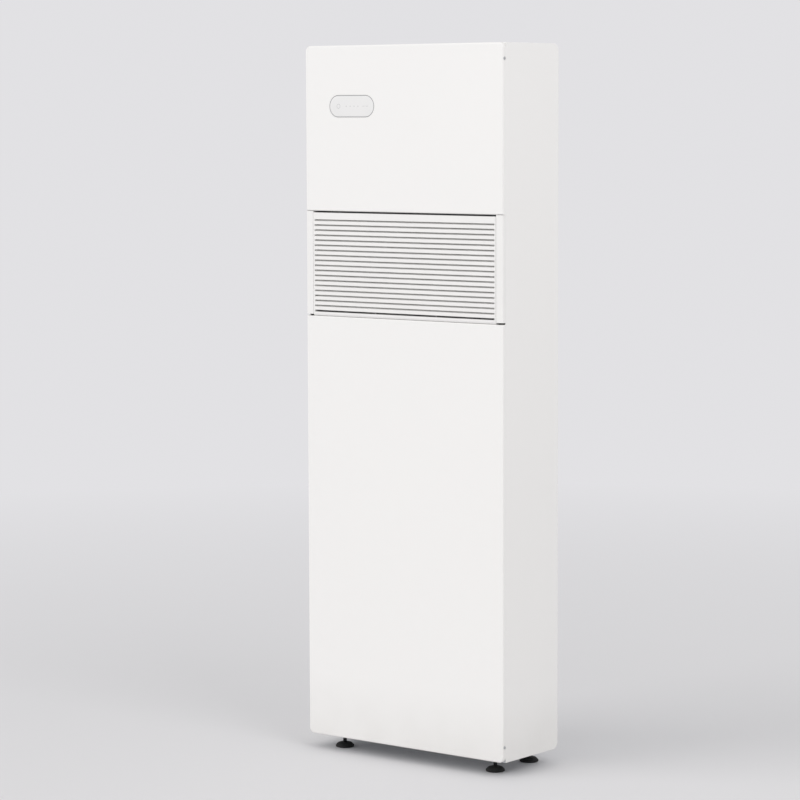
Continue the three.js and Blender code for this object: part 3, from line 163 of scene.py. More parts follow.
class Shape:
    """A mesh in the making, worked on with bmesh operators, in metres."""

    def __init__(self, node=None):
        self.bm = bmesh.new()
        if node:
            self.bm.from_mesh(frame["nodes"][node].data)
            bmesh.ops.remove_doubles(self.bm, verts=self.bm.verts, dist=MERGE)
            bmesh.ops.dissolve_limit(self.bm, angle_limit=math.radians(0.5), verts=self.bm.verts,
                                     edges=self.bm.edges)

    def block(self, low, high):
        low, high = Vector(low), Vector(high)
        verts = bmesh.ops.create_cube(self.bm, size=1)["verts"]
        bmesh.ops.scale(self.bm, vec=high - low, verts=verts)
        bmesh.ops.translate(self.bm, vec=(low + high) / 2, verts=verts)
        return verts

    def soft_block(self, low, high, radius, segments=2):
        """A block with all its edges rounded."""
        return self.rounded(edges_of(self.block(low, high)), radius, segments)

    def drawn(self, outline, axis, start, end):
        """A flat outline drawn out along an axis."""
        ring = [self.bm.verts.new(spot(axis, start, a, b)) for a, b in outline]
        face = self.bm.faces.new(ring)
        far = verts_in(bmesh.ops.extrude_face_region(self.bm, geom=[face])["geom"])
        bmesh.ops.translate(self.bm, vec=spot(axis, end - start, 0, 0), verts=far)
        return ring + far

    def turned(self, outline, axis, a, b, steps=48):
        """An outline of (radius, place along the axis) spun round the axis through (a, b)."""
        before = set(self.bm.verts)
        ring = [self.bm.verts.new(spot(axis, along, a + r, b)) for r, along in outline]
        edges = [self.bm.edges.new(pair) for pair in zip(ring, ring[1:])]
        bmesh.ops.spin(self.bm, geom=ring + edges, cent=spot(axis, 0, a, b), axis=AXES[axis],
                       dvec=(0, 0, 0), angle=TURN, steps=steps, use_merge=True)
        made = [v for v in self.bm.verts if v not in before]
        bmesh.ops.remove_doubles(self.bm, verts=made, dist=MERGE)
        return [v for v in self.bm.verts if v not in before]

    def rod(self, axis, radius, start, end, a, b, rim=0.3 * MM, steps=32):
        """A round bar with its rims broken."""
        return self.turned([(0, start), (radius - rim, start), (radius, start + rim),
                            (radius, end - rim), (radius - rim, end), (0, end)], axis, a, b, steps)

    def ring(self, axis, inner, outer, start, end, a, b, rim=0.3 * MM, steps=48):
        """A round tube with its rims broken."""
        return self.turned([(inner + rim, start), (outer - rim, start), (outer, start + rim),
                            (outer, end - rim), (outer - rim, end), (inner + rim, end),
                            (inner, end - rim), (inner, start + rim), (inner + rim, start)],
                           axis, a, b, steps)

    def pipe(self, points, radius, bend, steps=10):
        """A round tube along straight runs joined by bends."""
        points = [Vector(p) for p in points]
        route = [points[0]]
        for before, corner, after in zip(points, points[1:], points[2:]):
            start = corner + (before - corner).normalized() * bend
            end = corner + (after - corner).normalized() * bend
            for i in range(steps + 1):
                t = i / steps
                route.append(start * (1 - t) ** 2 + corner * 2 * t * (1 - t) + end * t ** 2)
        route.append(points[-1])
        curve = bpy.data.curves.new("route", "CURVE")
        curve.dimensions = "3D"
        curve.bevel_depth = radius
        curve.bevel_resolution = 4
        curve.use_fill_caps = True
        line = curve.splines.new("POLY")
        line.points.add(len(route) - 1)
        for point, place in zip(line.points, route):
            point.co = (*place, 1)
        holder = new_object("route", curve)
        mesh = bpy.data.meshes.new_from_object(holder.evaluated_get(bpy.context.evaluated_depsgraph_get()))
        bpy.data.objects.remove(holder)
        bpy.data.curves.remove(curve)
        self.bm.from_mesh(mesh)
        bpy.data.meshes.remove(mesh)

    def hairpin(self, axis, across, start, turn, z, radius):
        """A tube out along an axis to its bend and back, one leg over the other."""
        legs = ((start, z - HAIRPIN), (turn, z - HAIRPIN), (turn, z + HAIRPIN), (start, z + HAIRPIN))
        self.pipe([spot(axis, along, across, height) for along, height in legs], radius, HAIRPIN * 0.98)

    def blade(self, inner, outer, thickness, lean, axis, start, end, a, b, steps=6):
        """A forward curved fan blade about the axis through (a, b), leaning so many degrees."""
        def side(offset):
            line = []
            for i in range(steps + 1):
                t = i / steps
                r = inner + (outer - inner) * t
                angle = math.radians(lean) * t * t + offset / r
                line.append((a + r * math.cos(angle), b + r * math.sin(angle)))
            return line
        return self.drawn(side(-thickness / 2) + side(thickness / 2)[::-1], axis, start, end)

    def edges(self, test):
        return [e for e in self.bm.edges if test(e)]

    def rounded(self, edges, radius, segments=3):
        return bmesh.ops.bevel(self.bm, geom=list(edges), offset=radius, offset_type="OFFSET",
                               segments=segments, profile=0.5, affect="EDGES", clamp_overlap=True,
                               material=-1)["verts"]

    def copies(self, verts, count):
        """Yields the number and the corners of each further copy."""
        geometry = list(verts) + list(edges_of(verts)) + list({f for v in verts for f in v.link_faces})
        for i in range(1, count):
            yield i, verts_in(bmesh.ops.duplicate(self.bm, geom=geometry)["geom"])

    def repeated(self, verts, step, count):
        """Copies in a row."""
        for i, moved in self.copies(verts, count):
            bmesh.ops.translate(self.bm, vec=Vector(step) * i, verts=moved)

    def round_about(self, verts, centre, axis, count):
        """Copies in a circle."""
        for i, moved in self.copies(verts, count):
            bmesh.ops.rotate(self.bm, cent=centre, verts=moved,
                             matrix=Matrix.Rotation(TURN * i / count, 3, AXES[axis]))

    def mesh(self, name, crease=CREASE):
        bmesh.ops.remove_doubles(self.bm, verts=self.bm.verts, dist=MERGE)
        bmesh.ops.recalc_face_normals(self.bm, faces=self.bm.faces)
        made = bpy.data.meshes.new(name)
        self.bm.to_mesh(made)
        self.bm.free()
        made.shade_smooth()
        made.set_sharp_from_angle(angle=math.radians(crease))
        return made

    def piece(self, name, slot, node=None, body=CABINET, finish=None, crease=CREASE):
        """Ends as a piece that rides on a body and may stand for a CAD node."""
        made = new_object(name, self.mesh(name, crease))
        made.data.materials.append(FINISHES[finish or slot])
        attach(made, body)
        if node:
            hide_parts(node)
        return made


def new_object(name, data):
    made = bpy.data.objects.new(name, data)
    bpy.context.scene.collection.objects.link(made)
    return made


def settle(piece):
    """Applies a piece's modifiers."""
    graph = bpy.context.evaluated_depsgraph_get()
    piece.data = bpy.data.meshes.new_from_object(piece.evaluated_get(graph))
    piece.modifiers.clear()


def carve(piece, *tools, operation="DIFFERENCE"):
    """Cuts shapes out of a piece, or joins them to it."""
    piece.modifiers.clear()
    for i, tool in enumerate(tools):
        cutter = new_object(f"cutter_{i}", tool.mesh("cutter"))
        change = piece.modifiers.new("cut", "BOOLEAN")
        change.operation = operation
        change.solver = "EXACT"
        change.object = cutter
        settle(piece)
        bpy.data.objects.remove(cutter)
    piece.data.shade_smooth()
    piece.data.set_sharp_from_angle(angle=math.radians(CREASE))
    return even(piece)


def even(piece):
    """Shades wide flat faces flat and the roundings beside them smooth."""
    change = piece.modifiers.new("even shading", "WEIGHTED_NORMAL")
    change.keep_sharp = True
    return piece


def softened(node, radius, chosen, slot, segments=2):
    """A copy of a CAD node whose chosen outer edges are rounded, standing for it."""
    shape = Shape(node)
    sharp = shape.edges(lambda e: len(e.link_faces) == 2 and e.calc_face_angle() > math.radians(SHARP)
                        and e.is_convex and chosen(e))
    shape.rounded(sharp, radius, segments)
    return even(shape.piece(node + "_skin", slot, node, frame["nodes"][node]["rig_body"]))


# ---------- finishes ----------
FINISHES = {}


class Value:
    """A number or colour that varies over a surface; sums with it add Math nodes."""

    def __init__(self, recipe, socket):
        self.recipe = recipe
        self.socket = socket

    def maths(self, operation, first, second, clamp=False):
        return self.recipe.node("ShaderNodeMath", {"operation": operation, "use_clamp": clamp},
                                {0: first, 1: second})

    def __add__(self, other):
        return self.maths("ADD", self, other)

    def __radd__(self, other):
        return self.maths("ADD", other, self)

    def __sub__(self, other):
        return self.maths("SUBTRACT", self, other)

    def __rsub__(self, other):
        return self.maths("SUBTRACT", other, self)

    def __mul__(self, other):
        return self.maths("MULTIPLY", self, other)

    def __rmul__(self, other):
        return self.maths("MULTIPLY", other, self)

    def __truediv__(self, other):
        return self.maths("DIVIDE", self, other)

    def __pow__(self, other):
        return self.maths("POWER", self, other)

    def __abs__(self):
        return self.maths("ABSOLUTE", self, 0)

    def at_least(self, other):
        return self.maths("MAXIMUM", self, other)

    def over(self, other):
        """1 where this is greater, 0 elsewhere."""
        return self.maths("GREATER_THAN", self, other)

    def under(self, other):
        """1 where this is less, 0 elsewhere."""
        return self.maths("LESS_THAN", self, other)

    def held(self):
        """Kept between 0 and 1."""
        return self.maths("ADD", self, 0, clamp=True)


class Graph:
    """A node tree in the making."""

    def __init__(self, tree):
        self.tree = tree
        tree.nodes.clear()

    def node(self, kind, settings=None, inputs=None, output=0):
        node = self.tree.nodes.new(kind)
        for key, value in (settings or {}).items():
            setattr(node, key, value)
        for key, value in (inputs or {}).items():
            if isinstance(value, Value):
                self.tree.links.new(value.socket, node.inputs[key])
            else:
                node.inputs[key].default_value = value
        return Value(self, node.outputs[output]) if node.outputs else None


class Recipe(Graph):
    """A procedural material. Its patterns are laid out on the object's own coordinates."""

    def __init__(self, name, shown=True, **constants):
        self.material = bpy.data.materials.new(name)
        self.material.use_nodes = True
        super().__init__(self.material.node_tree)
        self.surface = self.node("ShaderNodeBsdfPrincipled", None,
                                 {key.replace("_", " "): value for key, value in constants.items()})
        if shown:
            self.show(self.surface)
        self.place = self.node("ShaderNodeTexCoord", output="Object")
        FINISHES[name] = self.material

    def show(self, shader):
        self.node("ShaderNodeOutputMaterial", None, {"Surface": shader})

    def stretched(self, x, y, z):
        return self.node("ShaderNodeMapping", None, {"Vector": self.place, "Scale": (x, y, z)})

    def noise(self, scale, detail=2.0, vector=None):
        return self.node("ShaderNodeTexNoise", None,
                         {"Vector": vector or self.place, "Scale": scale, "Detail": detail})

    def cells(self, scale, output=0, feature="F1"):
        return self.node("ShaderNodeTexVoronoi", {"feature": feature},
                         {"Vector": self.place, "Scale": scale}, output)

    def coordinates(self):
        return [self.node("ShaderNodeSeparateXYZ", None, {0: self.place}, axis) for axis in range(3)]

    def mix(self, factor, first, second):
        return self.node("ShaderNodeMix", {"data_type": "RGBA"}, {0: factor, 6: first, 7: second}, 2)

    def put(self, socket, value):
        self.tree.links.new(value.socket, self.surface.socket.node.inputs[socket])

    def bump(self, height, distance, strength=1.0):
        self.put("Normal", self.node("ShaderNodeBump", None,
                                     {"Height": height, "Distance": distance, "Strength": strength}))


def shade(colour, factor):
    return (*[c * factor for c in colour], 1)


def powder_coat(name, colour, peel, dust):
    """Baked powder paint: a fine orange peel, a little uneven in tone, dusty near the floor."""
    paint = Recipe(name, Specular_IOR_Level=0.3)
    tone = paint.noise(2.5)
    low = (1 - paint.coordinates()[2] / 0.16).held()
    dirt = (low * paint.noise(9, 4) * dust).held()
    colours = paint.mix(tone, shade(colour, 1), shade(colour, 0.985))
    paint.put("Base Color", paint.mix(dirt, colours, shade((0.60, 0.58, 0.55), 1)))
    paint.put("Roughness", 0.56 + 0.08 * paint.noise(35, 3))
    paint.bump(paint.noise(420, 3) * 0.7 + paint.noise(1300, 1) * 0.3, peel, 0.6)


def moulded(name, colour, rough, grain):
    """A moulded plastic with a spark eroded grain."""
    plastic = Recipe(name, Specular_IOR_Level=0.35)
    plastic.put("Base Color", plastic.mix(plastic.noise(14, 3), shade(colour, 1), shade(colour, 0.95)))
    plastic.put("Roughness", rough + 0.1 * plastic.noise(60, 3))
    plastic.bump(plastic.noise(1100), grain, 0.6)


def galvanised(name, colour):
    """Zinc coated sheet with its crystals."""
    sheet = Recipe(name, Metallic=0.85)
    crystals = sheet.cells(110, output="Color")
    grey = sheet.node("ShaderNodeRGBToBW", None, {0: crystals})
    sheet.put("Base Color", sheet.mix(grey, shade(colour, 0.93), shade(colour, 1.05)))
    sheet.put("Roughness", 0.36 + 0.14 * grey)
    sheet.bump(grey * 0.6 + sheet.noise(300) * 0.4, 0.04 * MM, 0.4)


def drawn_metal(name, colour, rough, streaks, bare=0.95):
    """Metal, bare or thinly coated, with streaks from drawing or rolling."""
    metal = Recipe(name, Metallic=bare)
    lines = metal.noise(1, 4, metal.stretched(*streaks))
    metal.put("Base Color", metal.mix(lines, shade(colour, 0.85), shade(colour, 1.05)))
    metal.put("Roughness", rough + 0.18 * lines)
    metal.bump(lines, 0.02 * MM, 0.5)


def aged_copper(name, colour):
    copper = Recipe(name, Metallic=0.95)
    patina = (copper.noise(28, 5) * 1.7 - 0.45).held()
    copper.put("Base Color", copper.mix(patina, shade(colour, 1), shade((0.36, 0.17, 0.10), 1)))
    copper.put("Roughness", 0.26 + 0.3 * patina)
    copper.bump(copper.noise(180, 3), 0.03 * MM, 0.4)


def rubber(name, colour):
    soft = Recipe(name, Specular_IOR_Level=0.3)
    bloom = (soft.noise(50, 5) * 1.5 - 0.5).held()
    soft.put("Base Color", soft.mix(bloom, shade(colour, 1), shade((0.042, 0.041, 0.04), 1)))
    soft.put("Roughness", 0.68 + 0.2 * bloom)
    soft.bump(soft.noise(900, 3), 0.05 * MM, 0.6)


def beads(name, colour):
    """Moulded expanded foam: pressed beads with fine joints."""
    foam = Recipe(name, Specular_IOR_Level=0.3)
    joint = foam.cells(320, feature="DISTANCE_TO_EDGE")
    pressed = (joint * 9).held()
    foam.put("Base Color", foam.mix(pressed, shade(colour, 0.88), shade(colour, 1)))
    foam.put("Roughness", 0.75 + 0.1 * foam.noise(90))
    foam.bump(pressed, 0.12 * MM, 0.7)


def solder_mask(name, colour):
    """A circuit board: tracks under green lacquer."""
    board = Recipe(name, Specular_IOR_Level=0.5)
    tracks = board.cells(150, feature="DISTANCE_TO_EDGE").under(0.09)
    board.put("Base Color", board.mix(tracks, shade(colour, 1), shade(colour, 1.7)))
    board.put("Roughness", 0.28 + 0.15 * board.noise(40))
    board.bump(tracks, 0.04 * MM, 0.5)


def touch_lens(name, colour, centre, width, height):
    """A pale lens with a dark band painted round its edge as the painted shade of the groove round it, and
    faint plain marks: a ring, a row of dots and two short bars.
    """
    lens = Recipe(name, Coat_Weight=0.5, Coat_Roughness=0.08)
    x, _, z = lens.coordinates()
    z = z - centre.z

    def ring_at(place, radius, thickness):
        far = (((x - (centre.x + place * MM)) ** 2) + z ** 2) ** 0.5
        return abs(far - radius * MM).under(thickness * MM)

    def bar_at(place, reach, thickness):
        return abs(x - (centre.x + place * MM)).under(reach * MM) * abs(z).under(thickness * MM)

    marks = [ring_at(-34, 4.2, 0.45)] + [ring_at(place, 0, 1.1) for place in (-14, -4, 6, 16)]
    marks += [bar_at(place, 3, 0.4) for place in (30, 39)]
    # painted shade: a dark band inside the lens's rim stands for the shadow of the groove round the lens
    past = (abs(x - centre.x) - (width - height) / 2).at_least(0)
    painted_groove_shade = ((past ** 2 + z ** 2) ** 0.5).over(height / 2 - 1.2 * MM)
    base = lens.mix(lens.noise(20), shade(colour, 1), shade(colour, 0.97))
    printed = lens.mix(sum(marks[1:], marks[0]).held() * 0.55, base, shade((0.30, 0.30, 0.31), 1))
    lens.put("Base Color", lens.mix(painted_groove_shade * 0.9, printed, shade((0.24, 0.24, 0.25), 1)))
    lens.put("Roughness", 0.12 + 0.06 * lens.noise(30))
    lens.bump(lens.noise(160), 0.01 * MM, 0.3)


# ---------- settings ----------
def length(name, description, millimetres):
    return bpy.props.FloatProperty(name=name, description=description, default=millimetres * MM,
                                   min=0, unit="LENGTH", precision=4)


def number(name, description, default):
    return bpy.props.IntProperty(name=name, description=description, default=default, min=1)


def colour(name, description, default):
    return bpy.props.FloatVectorProperty(name=name, description=description, default=default,
                                         size=3, min=0, max=1, subtype="COLOR")


class AirconCabinet(bpy.types.PropertyGroup):
    sheet: length("Sheet", "Thickness of the painted steel sheet", 1.2)
    fold: length("Fold radius", "Bend radius of the front panels' folded edges", 3)
    corner: length("Corner radius", "Corner radius of the front panels seen from the front", 12)
    edge: length("Edge radius", "Rounding of the other sheet edges", 0.8)
    seam: length("Seam", "Clearance round the lens and the screws", 0.3)
    screw_head: length("Screw head", "Radius of the panel screws' heads", 3.2)
    bead: length("Bead height", "Height of the beads pressed into the rear panel", 1.2)


class AirconGrille(bpy.types.PropertyGroup):
    slots: number("Slots", "Number of open slots", 19)
    pitch: length("Pitch", "Distance from slot to slot", 10.17)
    slot: length("Slot height", "Open height of a slot at the front", 3.6)
    rise: length("Rise", "How far a louvre climbs towards the back", 6)
    rear: length("Rear edge", "Thickness of a louvre's rear edge", 4.4)
    lip: length("Lip radius", "Rounding of a louvre's front edges", 0.7)
    end: length("End plate", "Thickness of the grille's end plates", 3)
    bar: length("Bottom bar", "Height of the grille's bottom bar", 8)
    hinge: length("Hinge radius", "Rounding of the grille's hinge edge", 5)
    pin: length("Pin hole", "Radius of the holes for the hinge pins", 2.3)
    column: length("Column edge", "Rounding of the columns' inner front edges", 0.6)
    net: length("Net pitch", "Distance between the threads of the filter's net", 2.0)
    thread: length("Net thread", "Width of a thread of the filter's net", 0.7)


class AirconAir(bpy.types.PropertyGroup):
    blades: number("Blower blades", "Number of blades on the tangential rotor", 36)
    blade: length("Blade thickness", "Thickness of the fan blades", 1.1)
    wheel: number("Wheel blades", "Number of blades on the outside fan wheel", 36)
    fin: length("Fin pitch", "Distance between the coils' fins", 2.5)
    fin_sheet: length("Fin sheet", "Thickness of a fin", 0.3)
    pipe: length("Coil tube", "Radius of the tubes through the coils", 4)


class AirconFixings(bpy.types.PropertyGroup):
    thread: length("Thread pitch", "Pitch of the feet's threads", 1.25)
    depth: length("Thread depth", "Depth of the feet's threads", 0.6)


class AirconColours(bpy.types.PropertyGroup):
    paint: colour("Paint", "Colour of the powder coat", (0.895, 0.885, 0.873))
    plastic: colour("White plastic", "Colour of the grille and flap", (0.89, 0.88, 0.868))
    lens: colour("Lens", "Colour of the display's lens", (0.80, 0.795, 0.79))
    zinc: colour("Zinc", "Colour of the galvanised sheet", (0.56, 0.58, 0.60))
    steel: colour("Steel", "Colour of plated steel", (0.62, 0.63, 0.64))
    blackened: colour("Blackened steel", "Colour of the feet's stems", (0.05, 0.05, 0.052))
    aluminium: colour("Aluminium", "Colour of the coils' fins", (0.70, 0.72, 0.73))
    copper: colour("Copper", "Colour of clean copper tube", (0.72, 0.36, 0.22))
    rubber: colour("Rubber", "Colour of the feet and mounts", (0.012, 0.012, 0.0125))
    enamel: colour("Enamel", "Colour of the compressor", (0.025, 0.025, 0.027))
    dark: colour("Dark plastic", "Colour of the fans", (0.055, 0.057, 0.06))
    grey: colour("Grey plastic", "Colour of the duct collars and the fan's case", (0.36, 0.37, 0.38))
    foam: colour("Foam", "Colour of the insulating mouldings", (0.70, 0.70, 0.70))
    board: colour("Circuit board", "Colour of the solder mask", (0.02, 0.15, 0.07))


class AirconStage(bpy.types.PropertyGroup):
    ground: colour("Floor", "Colour of the floor", (0.74, 0.735, 0.75))
    backdrop: colour("Backdrop", "Colour of the backdrop", (0.76, 0.755, 0.775))
    daylight: bpy.props.FloatProperty(
        name="Daylight", description="Strength of the even light from all round", default=0.72, min=0)
    key: bpy.props.FloatProperty(
        name="Key lamp", description="Power of the large soft lamp at the front left", default=975,
        min=0, unit="POWER")
    side: bpy.props.FloatProperty(
        name="Side lamp", description="Power of the soft lamp high on the right", default=46, min=0,
        unit="POWER")
    lens: bpy.props.FloatProperty(
        name="Focal length", description="Focal length of the camera, in millimetres", default=135.57,
        min=1)


# ---------- operators ----------
class AIRCON_OT_finishes(bpy.types.Operator):
    """Makes the procedural finishes"""
    bl_idname = "aircon.finishes"
    bl_label = "Finishes"

    def execute(self, context):
        hue = context.scene.aircon_colours
        powder_coat("white_paint", hue.paint, 0.05 * MM, 0.5)
        powder_coat("black_enamel", hue.enamel, 0.08 * MM, 0.2)
        moulded("white_plastic", hue.plastic, 0.52, 0.03 * MM)
        moulded("dark_plastic", hue.dark, 0.42, 0.04 * MM)
        moulded("grey_plastic", hue.grey, 0.46, 0.05 * MM)
        galvanised("zinc_sheet", hue.zinc)
        drawn_metal("steel", hue.steel, 0.28, (60, 60, 900))
        drawn_metal("blackened_steel", hue.blackened, 0.4, (300, 300, 300), 0.7)
        drawn_metal("aluminium", hue.aluminium, 0.34, (900, 30, 120), 0.6)
        aged_copper("copper", hue.copper)
        rubber("black_rubber", hue.rubber)
        beads("foam", hue.foam)
        solder_mask("board", hue.board)
        low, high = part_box("display_lens")
        touch_lens("lens", hue.lens, (low + high) / 2, high.x - low.x, high.z - low.z)
        return {"FINISHED"}


def screw_seats(level):
    """Cutting rods for the screw heads in a front panel's folded sides."""
    sizes = bpy.context.scene.aircon_cabinet
    tools = []
    for side in SIDES:
        low, high, middle = extent(f"panel_screw_{level}_{side}")
        seat = Shape()
        seat.rod("x", sizes.screw_head + sizes.seam, low.x - OVER, high.x + OVER, middle.y, middle.z)
        tools.append(seat)
    return tools


class AIRCON_OT_front_panels(bpy.types.Operator):
    """Folded front panels with rounded corners, over and under the louvred band"""
    bl_idname = "aircon.front_panels"
    bl_label = "Front panels"

    def execute(self, context):
        sizes = context.scene.aircon_cabinet
        for level in ("upper", "lower"):
            node = f"front_panel_{level}"
            low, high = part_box(node)
            outer = high.z if level == "upper" else low.z
            shape = Shape()
            shape.block(low, high)
            corners = shape.edges(lambda e: runs_along(e, "y") and lies_at(e, "z", outer))
            shape.rounded(corners, sizes.corner, 12)
            shape.rounded(shape.edges(lambda e: lies_at(e, "y", low.y)), sizes.fold, 5)
            back = [f for f in shape.bm.faces if lies_at(f, "y", high.y)]
            bmesh.ops.delete(shape.bm, geom=back, context="FACES")
            panel = shape.piece(node + "_skin", "white_paint", node)
            sheet = panel.modifiers.new("sheet", "SOLIDIFY")
            sheet.thickness = sizes.sheet
            sheet.offset = -1
            sheet.use_even_offset = True
            settle(panel)
            tools = screw_seats(level)
            if level == "upper":
                tools.append(window(sizes.seam, low.y - OVER, low.y + 2 * sizes.sheet))
            carve(panel, *tools)
        return {"FINISHED"}


def window(grow, front, back):
    """The display window's shape: a bar with round ends."""
    low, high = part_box("display_lens")
    shape = Shape()
    shape.block((low.x - grow, front, low.z - grow), (high.x + grow, back, high.z + grow))
    radius = (high.z - low.z) / 2 + grow - NEAR
    shape.rounded(shape.edges(lambda e: runs_along(e, "y")), radius, 20)
    return shape


class AIRCON_OT_case(bpy.types.Operator):
    """Side panels, top cover, base pan and rear panel"""
    bl_idname = "aircon.case"
    bl_label = "Case"

    def execute(self, context):
        sizes = context.scene.aircon_cabinet
        for side, end in zip(SIDES, (0, 1)):
            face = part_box(f"side_panel_{side}")[end].x
            softened(f"side_panel_{side}", sizes.edge, lambda e: lies_at(e, "x", face), "white_paint")
        self.tray("top_cover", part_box("top_cover")[1].z, -1, "white_paint", sizes)
        self.tray("base_pan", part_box("base_pan")[0].z, 1, "zinc_sheet", sizes)
        self.rear_panel(sizes)
        return {"FINISHED"}

    def tray(self, node, face, way, slot, sizes):
        """The top cover or base pan, with tabs that close its front corners."""
        low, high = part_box(node)
        tray = softened(node, sizes.edge, lambda e: lies_at(e, "z", face), slot)
        bottom, top = sorted((face, face + way * sizes.corner))
        tabs = []
        for side in (-1, 1):
            left, right = sorted((side * (high.x - 3 * MM), side * high.x))
            tab = Shape()
            tab.soft_block((left, low.y, bottom), (right, low.y + sizes.sheet, top), 0.2 * MM, 1)
            tabs.append(tab)
        carve(tray, *tabs, operation="UNION")

    def rear_panel(self, sizes):
        """The rear panel: round duct holes, and beads pressed outwards to stiffen it."""
        low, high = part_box("rear_panel")
        panel = Shape("rear_panel").piece("rear_panel_pressed", "zinc_sheet", "rear_panel")
        gap = 0.5 * MM
        holes = []
        for node in ("exhaust_duct_collar", "intake_duct_collar"):
            start, end, middle = extent(node)
            hole = Shape()
            hole.rod("y", (end.x - start.x) / 2 - COLLAR_FLANGE + gap, low.y - OVER, high.y + OVER,
                     middle.x, middle.z, steps=96)
            holes.append(hole)
        carve(panel, *holes)
        half, wide, rim = 165 * MM, 7 * MM, high.y + sizes.bead
        for z in BEAD_HEIGHTS:
            bead = Shape()
            bead.block((-half, high.y - 0.5 * MM, z * MM - wide), (half, rim, z * MM + wide))
            bead.rounded(bead.edges(lambda e: runs_along(e, "y")), wide - NEAR, 8)
            bead.rounded(bead.edges(lambda e: lies_at(e, "y", rim)), sizes.bead * 0.9)
            carve(panel, bead, operation="UNION")


class AIRCON_OT_panel_screws(bpy.types.Operator):
    """The screws that hold the front panels, with cross recesses"""
    bl_idname = "aircon.panel_screws"
    bl_label = "Panel screws"

    def execute(self, context):
        sizes = context.scene.aircon_cabinet
        for level in ("upper", "lower"):
            for side, way in zip(SIDES, (-1, 1)):
                self.screw(f"panel_screw_{level}_{side}", way, sizes.screw_head, sizes.sheet)
        return {"FINISHED"}

    def screw(self, node, way, r, sheet):
        """A pan head on a pointed shank; way is the side that the head faces."""
        low, high, middle = extent(node)
        inner, face = (low.x, high.x) if way > 0 else (high.x, low.x)
        seat = face - way * sheet
        shape = Shape()
        shape.turned([(0, inner), (r * 0.35, inner), (r * 0.5, inner + way * r * 0.2), (r * 0.5, seat),
                      (r, seat), (r, face - way * 0.5 * MM), (r * 0.93, face - way * 0.18 * MM),
                      (r * 0.75, face), (0, face)], "x", middle.y, middle.z, 32)
        screw = shape.piece(node + "_head", "steel", node)
        arm, reach = r * 0.18, r * 0.58
        cross = [(-arm, -reach), (arm, -reach), (arm, -arm), (reach, -arm), (reach, arm), (arm, arm),
                 (arm, reach), (-arm, reach), (-arm, arm), (-reach, arm), (-reach, -arm), (-arm, -arm)]
        recess = Shape()
        recess.drawn([(middle.y + a, middle.z + b) for a, b in cross], "x", face - way * 0.8 * MM,
                     face + way * OVER)
        carve(screw, recess)


class AIRCON_OT_grille(bpy.types.Operator):
    """The hinged louvred grille and its columns"""
    bl_idname = "aircon.grille"
    bl_label = "Intake grille"

    def execute(self, context):
        sizes = context.scene.aircon_grille
        low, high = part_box("intake_grille")
        self.louvres(sizes, low, high)
        self.ends(sizes, low, high)
        self.columns(sizes)
        return {"FINISHED"}

    def louvres(self, sizes, low, high):
        """The rising louvres with the bottom bar and two rear ribs."""
        first = low.z + sizes.bar + sizes.slot
        last = first + (sizes.slots - 1) * sizes.pitch
        reach = high.x - sizes.end + 0.2 * MM
        shape = Shape()

        def louvre(z, height, top):
            made = shape.drawn([(low.y, z), (high.y, z + sizes.rise), (high.y, top), (low.y, z + height)],
                               "x", -reach, reach)
            edges = [e for e in edges_of(made) if runs_along(e, "x")]
            fronts = [e for e in edges if lies_at(e, "y", low.y)]
            backs = [e for e in edges if lies_at(e, "y", high.y)]
            shape.rounded(fronts, sizes.lip, 4)
            shape.rounded([e for e in backs if e.is_valid], sizes.lip / 2, 2)

        louvre(first, sizes.pitch - sizes.slot, first + sizes.rise + sizes.rear)
        shape.repeated(list(shape.bm.verts), (0, 0, sizes.pitch), sizes.slots - 1)
        louvre(last, high.z - last, high.z)
        top = low.z + sizes.bar
        bar = edges_of(shape.block((-reach, low.y, low.z), (reach, high.y, top)))
        fronts = [e for e in bar if runs_along(e, "x") and lies_at(e, "y", low.y)]
        hinge = [e for e in fronts if lies_at(e, "z", low.z)]
        upper = [e for e in fronts if lies_at(e, "z", top)]
        shape.rounded(hinge, sizes.hinge, 8)
        shape.rounded(upper, sizes.lip, 4)
        for i in (1, 2):
            x = -high.x + 2 * high.x * i / 3
            shape.soft_block((x - 0.6 * MM, high.y - 3.5 * MM, low.z + sizes.bar / 2),
                             (x + 0.6 * MM, high.y, high.z - sizes.bar / 2), 0.3 * MM)
        even(shape.piece("intake_grille_louvres", "white_plastic", "intake_grille", "grille"))

    def ends(self, sizes, low, high):
        """The grille's end plates, with holes for the hinge pins."""
        shape = Shape()
        for x in (-high.x, high.x - sizes.end):
            shape.block((x, low.y, low.z), (x + sizes.end, high.y, high.z))
        fronts = shape.edges(lambda e: lies_at(e, "y", low.y))
        shape.rounded([e for e in fronts if runs_along(e, "x") and lies_at(e, "z", low.z)], sizes.hinge, 8)
        shape.rounded(shape.edges(lambda e: lies_at(e, "y", low.y) and runs_along(e, "z")), sizes.lip / 2)
        plates = shape.piece("intake_grille_ends", "white_plastic", body="grille")
        pin = Shape()
        pin.rod("x", sizes.pin, -high.x - OVER, high.x + OVER, low.y + sizes.hinge, low.z + sizes.hinge)
        carve(plates, pin)

    def columns(self, sizes):
        """The columns beside the grille, with the pins it turns on."""
        for side in SIDES:
            node = f"grille_column_{side}"
            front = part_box(node)[0].y
            softened(node, sizes.column, lambda e: runs_along(e, "z") and lies_at(e, "y", front),
                     "white_plastic", segments=3)


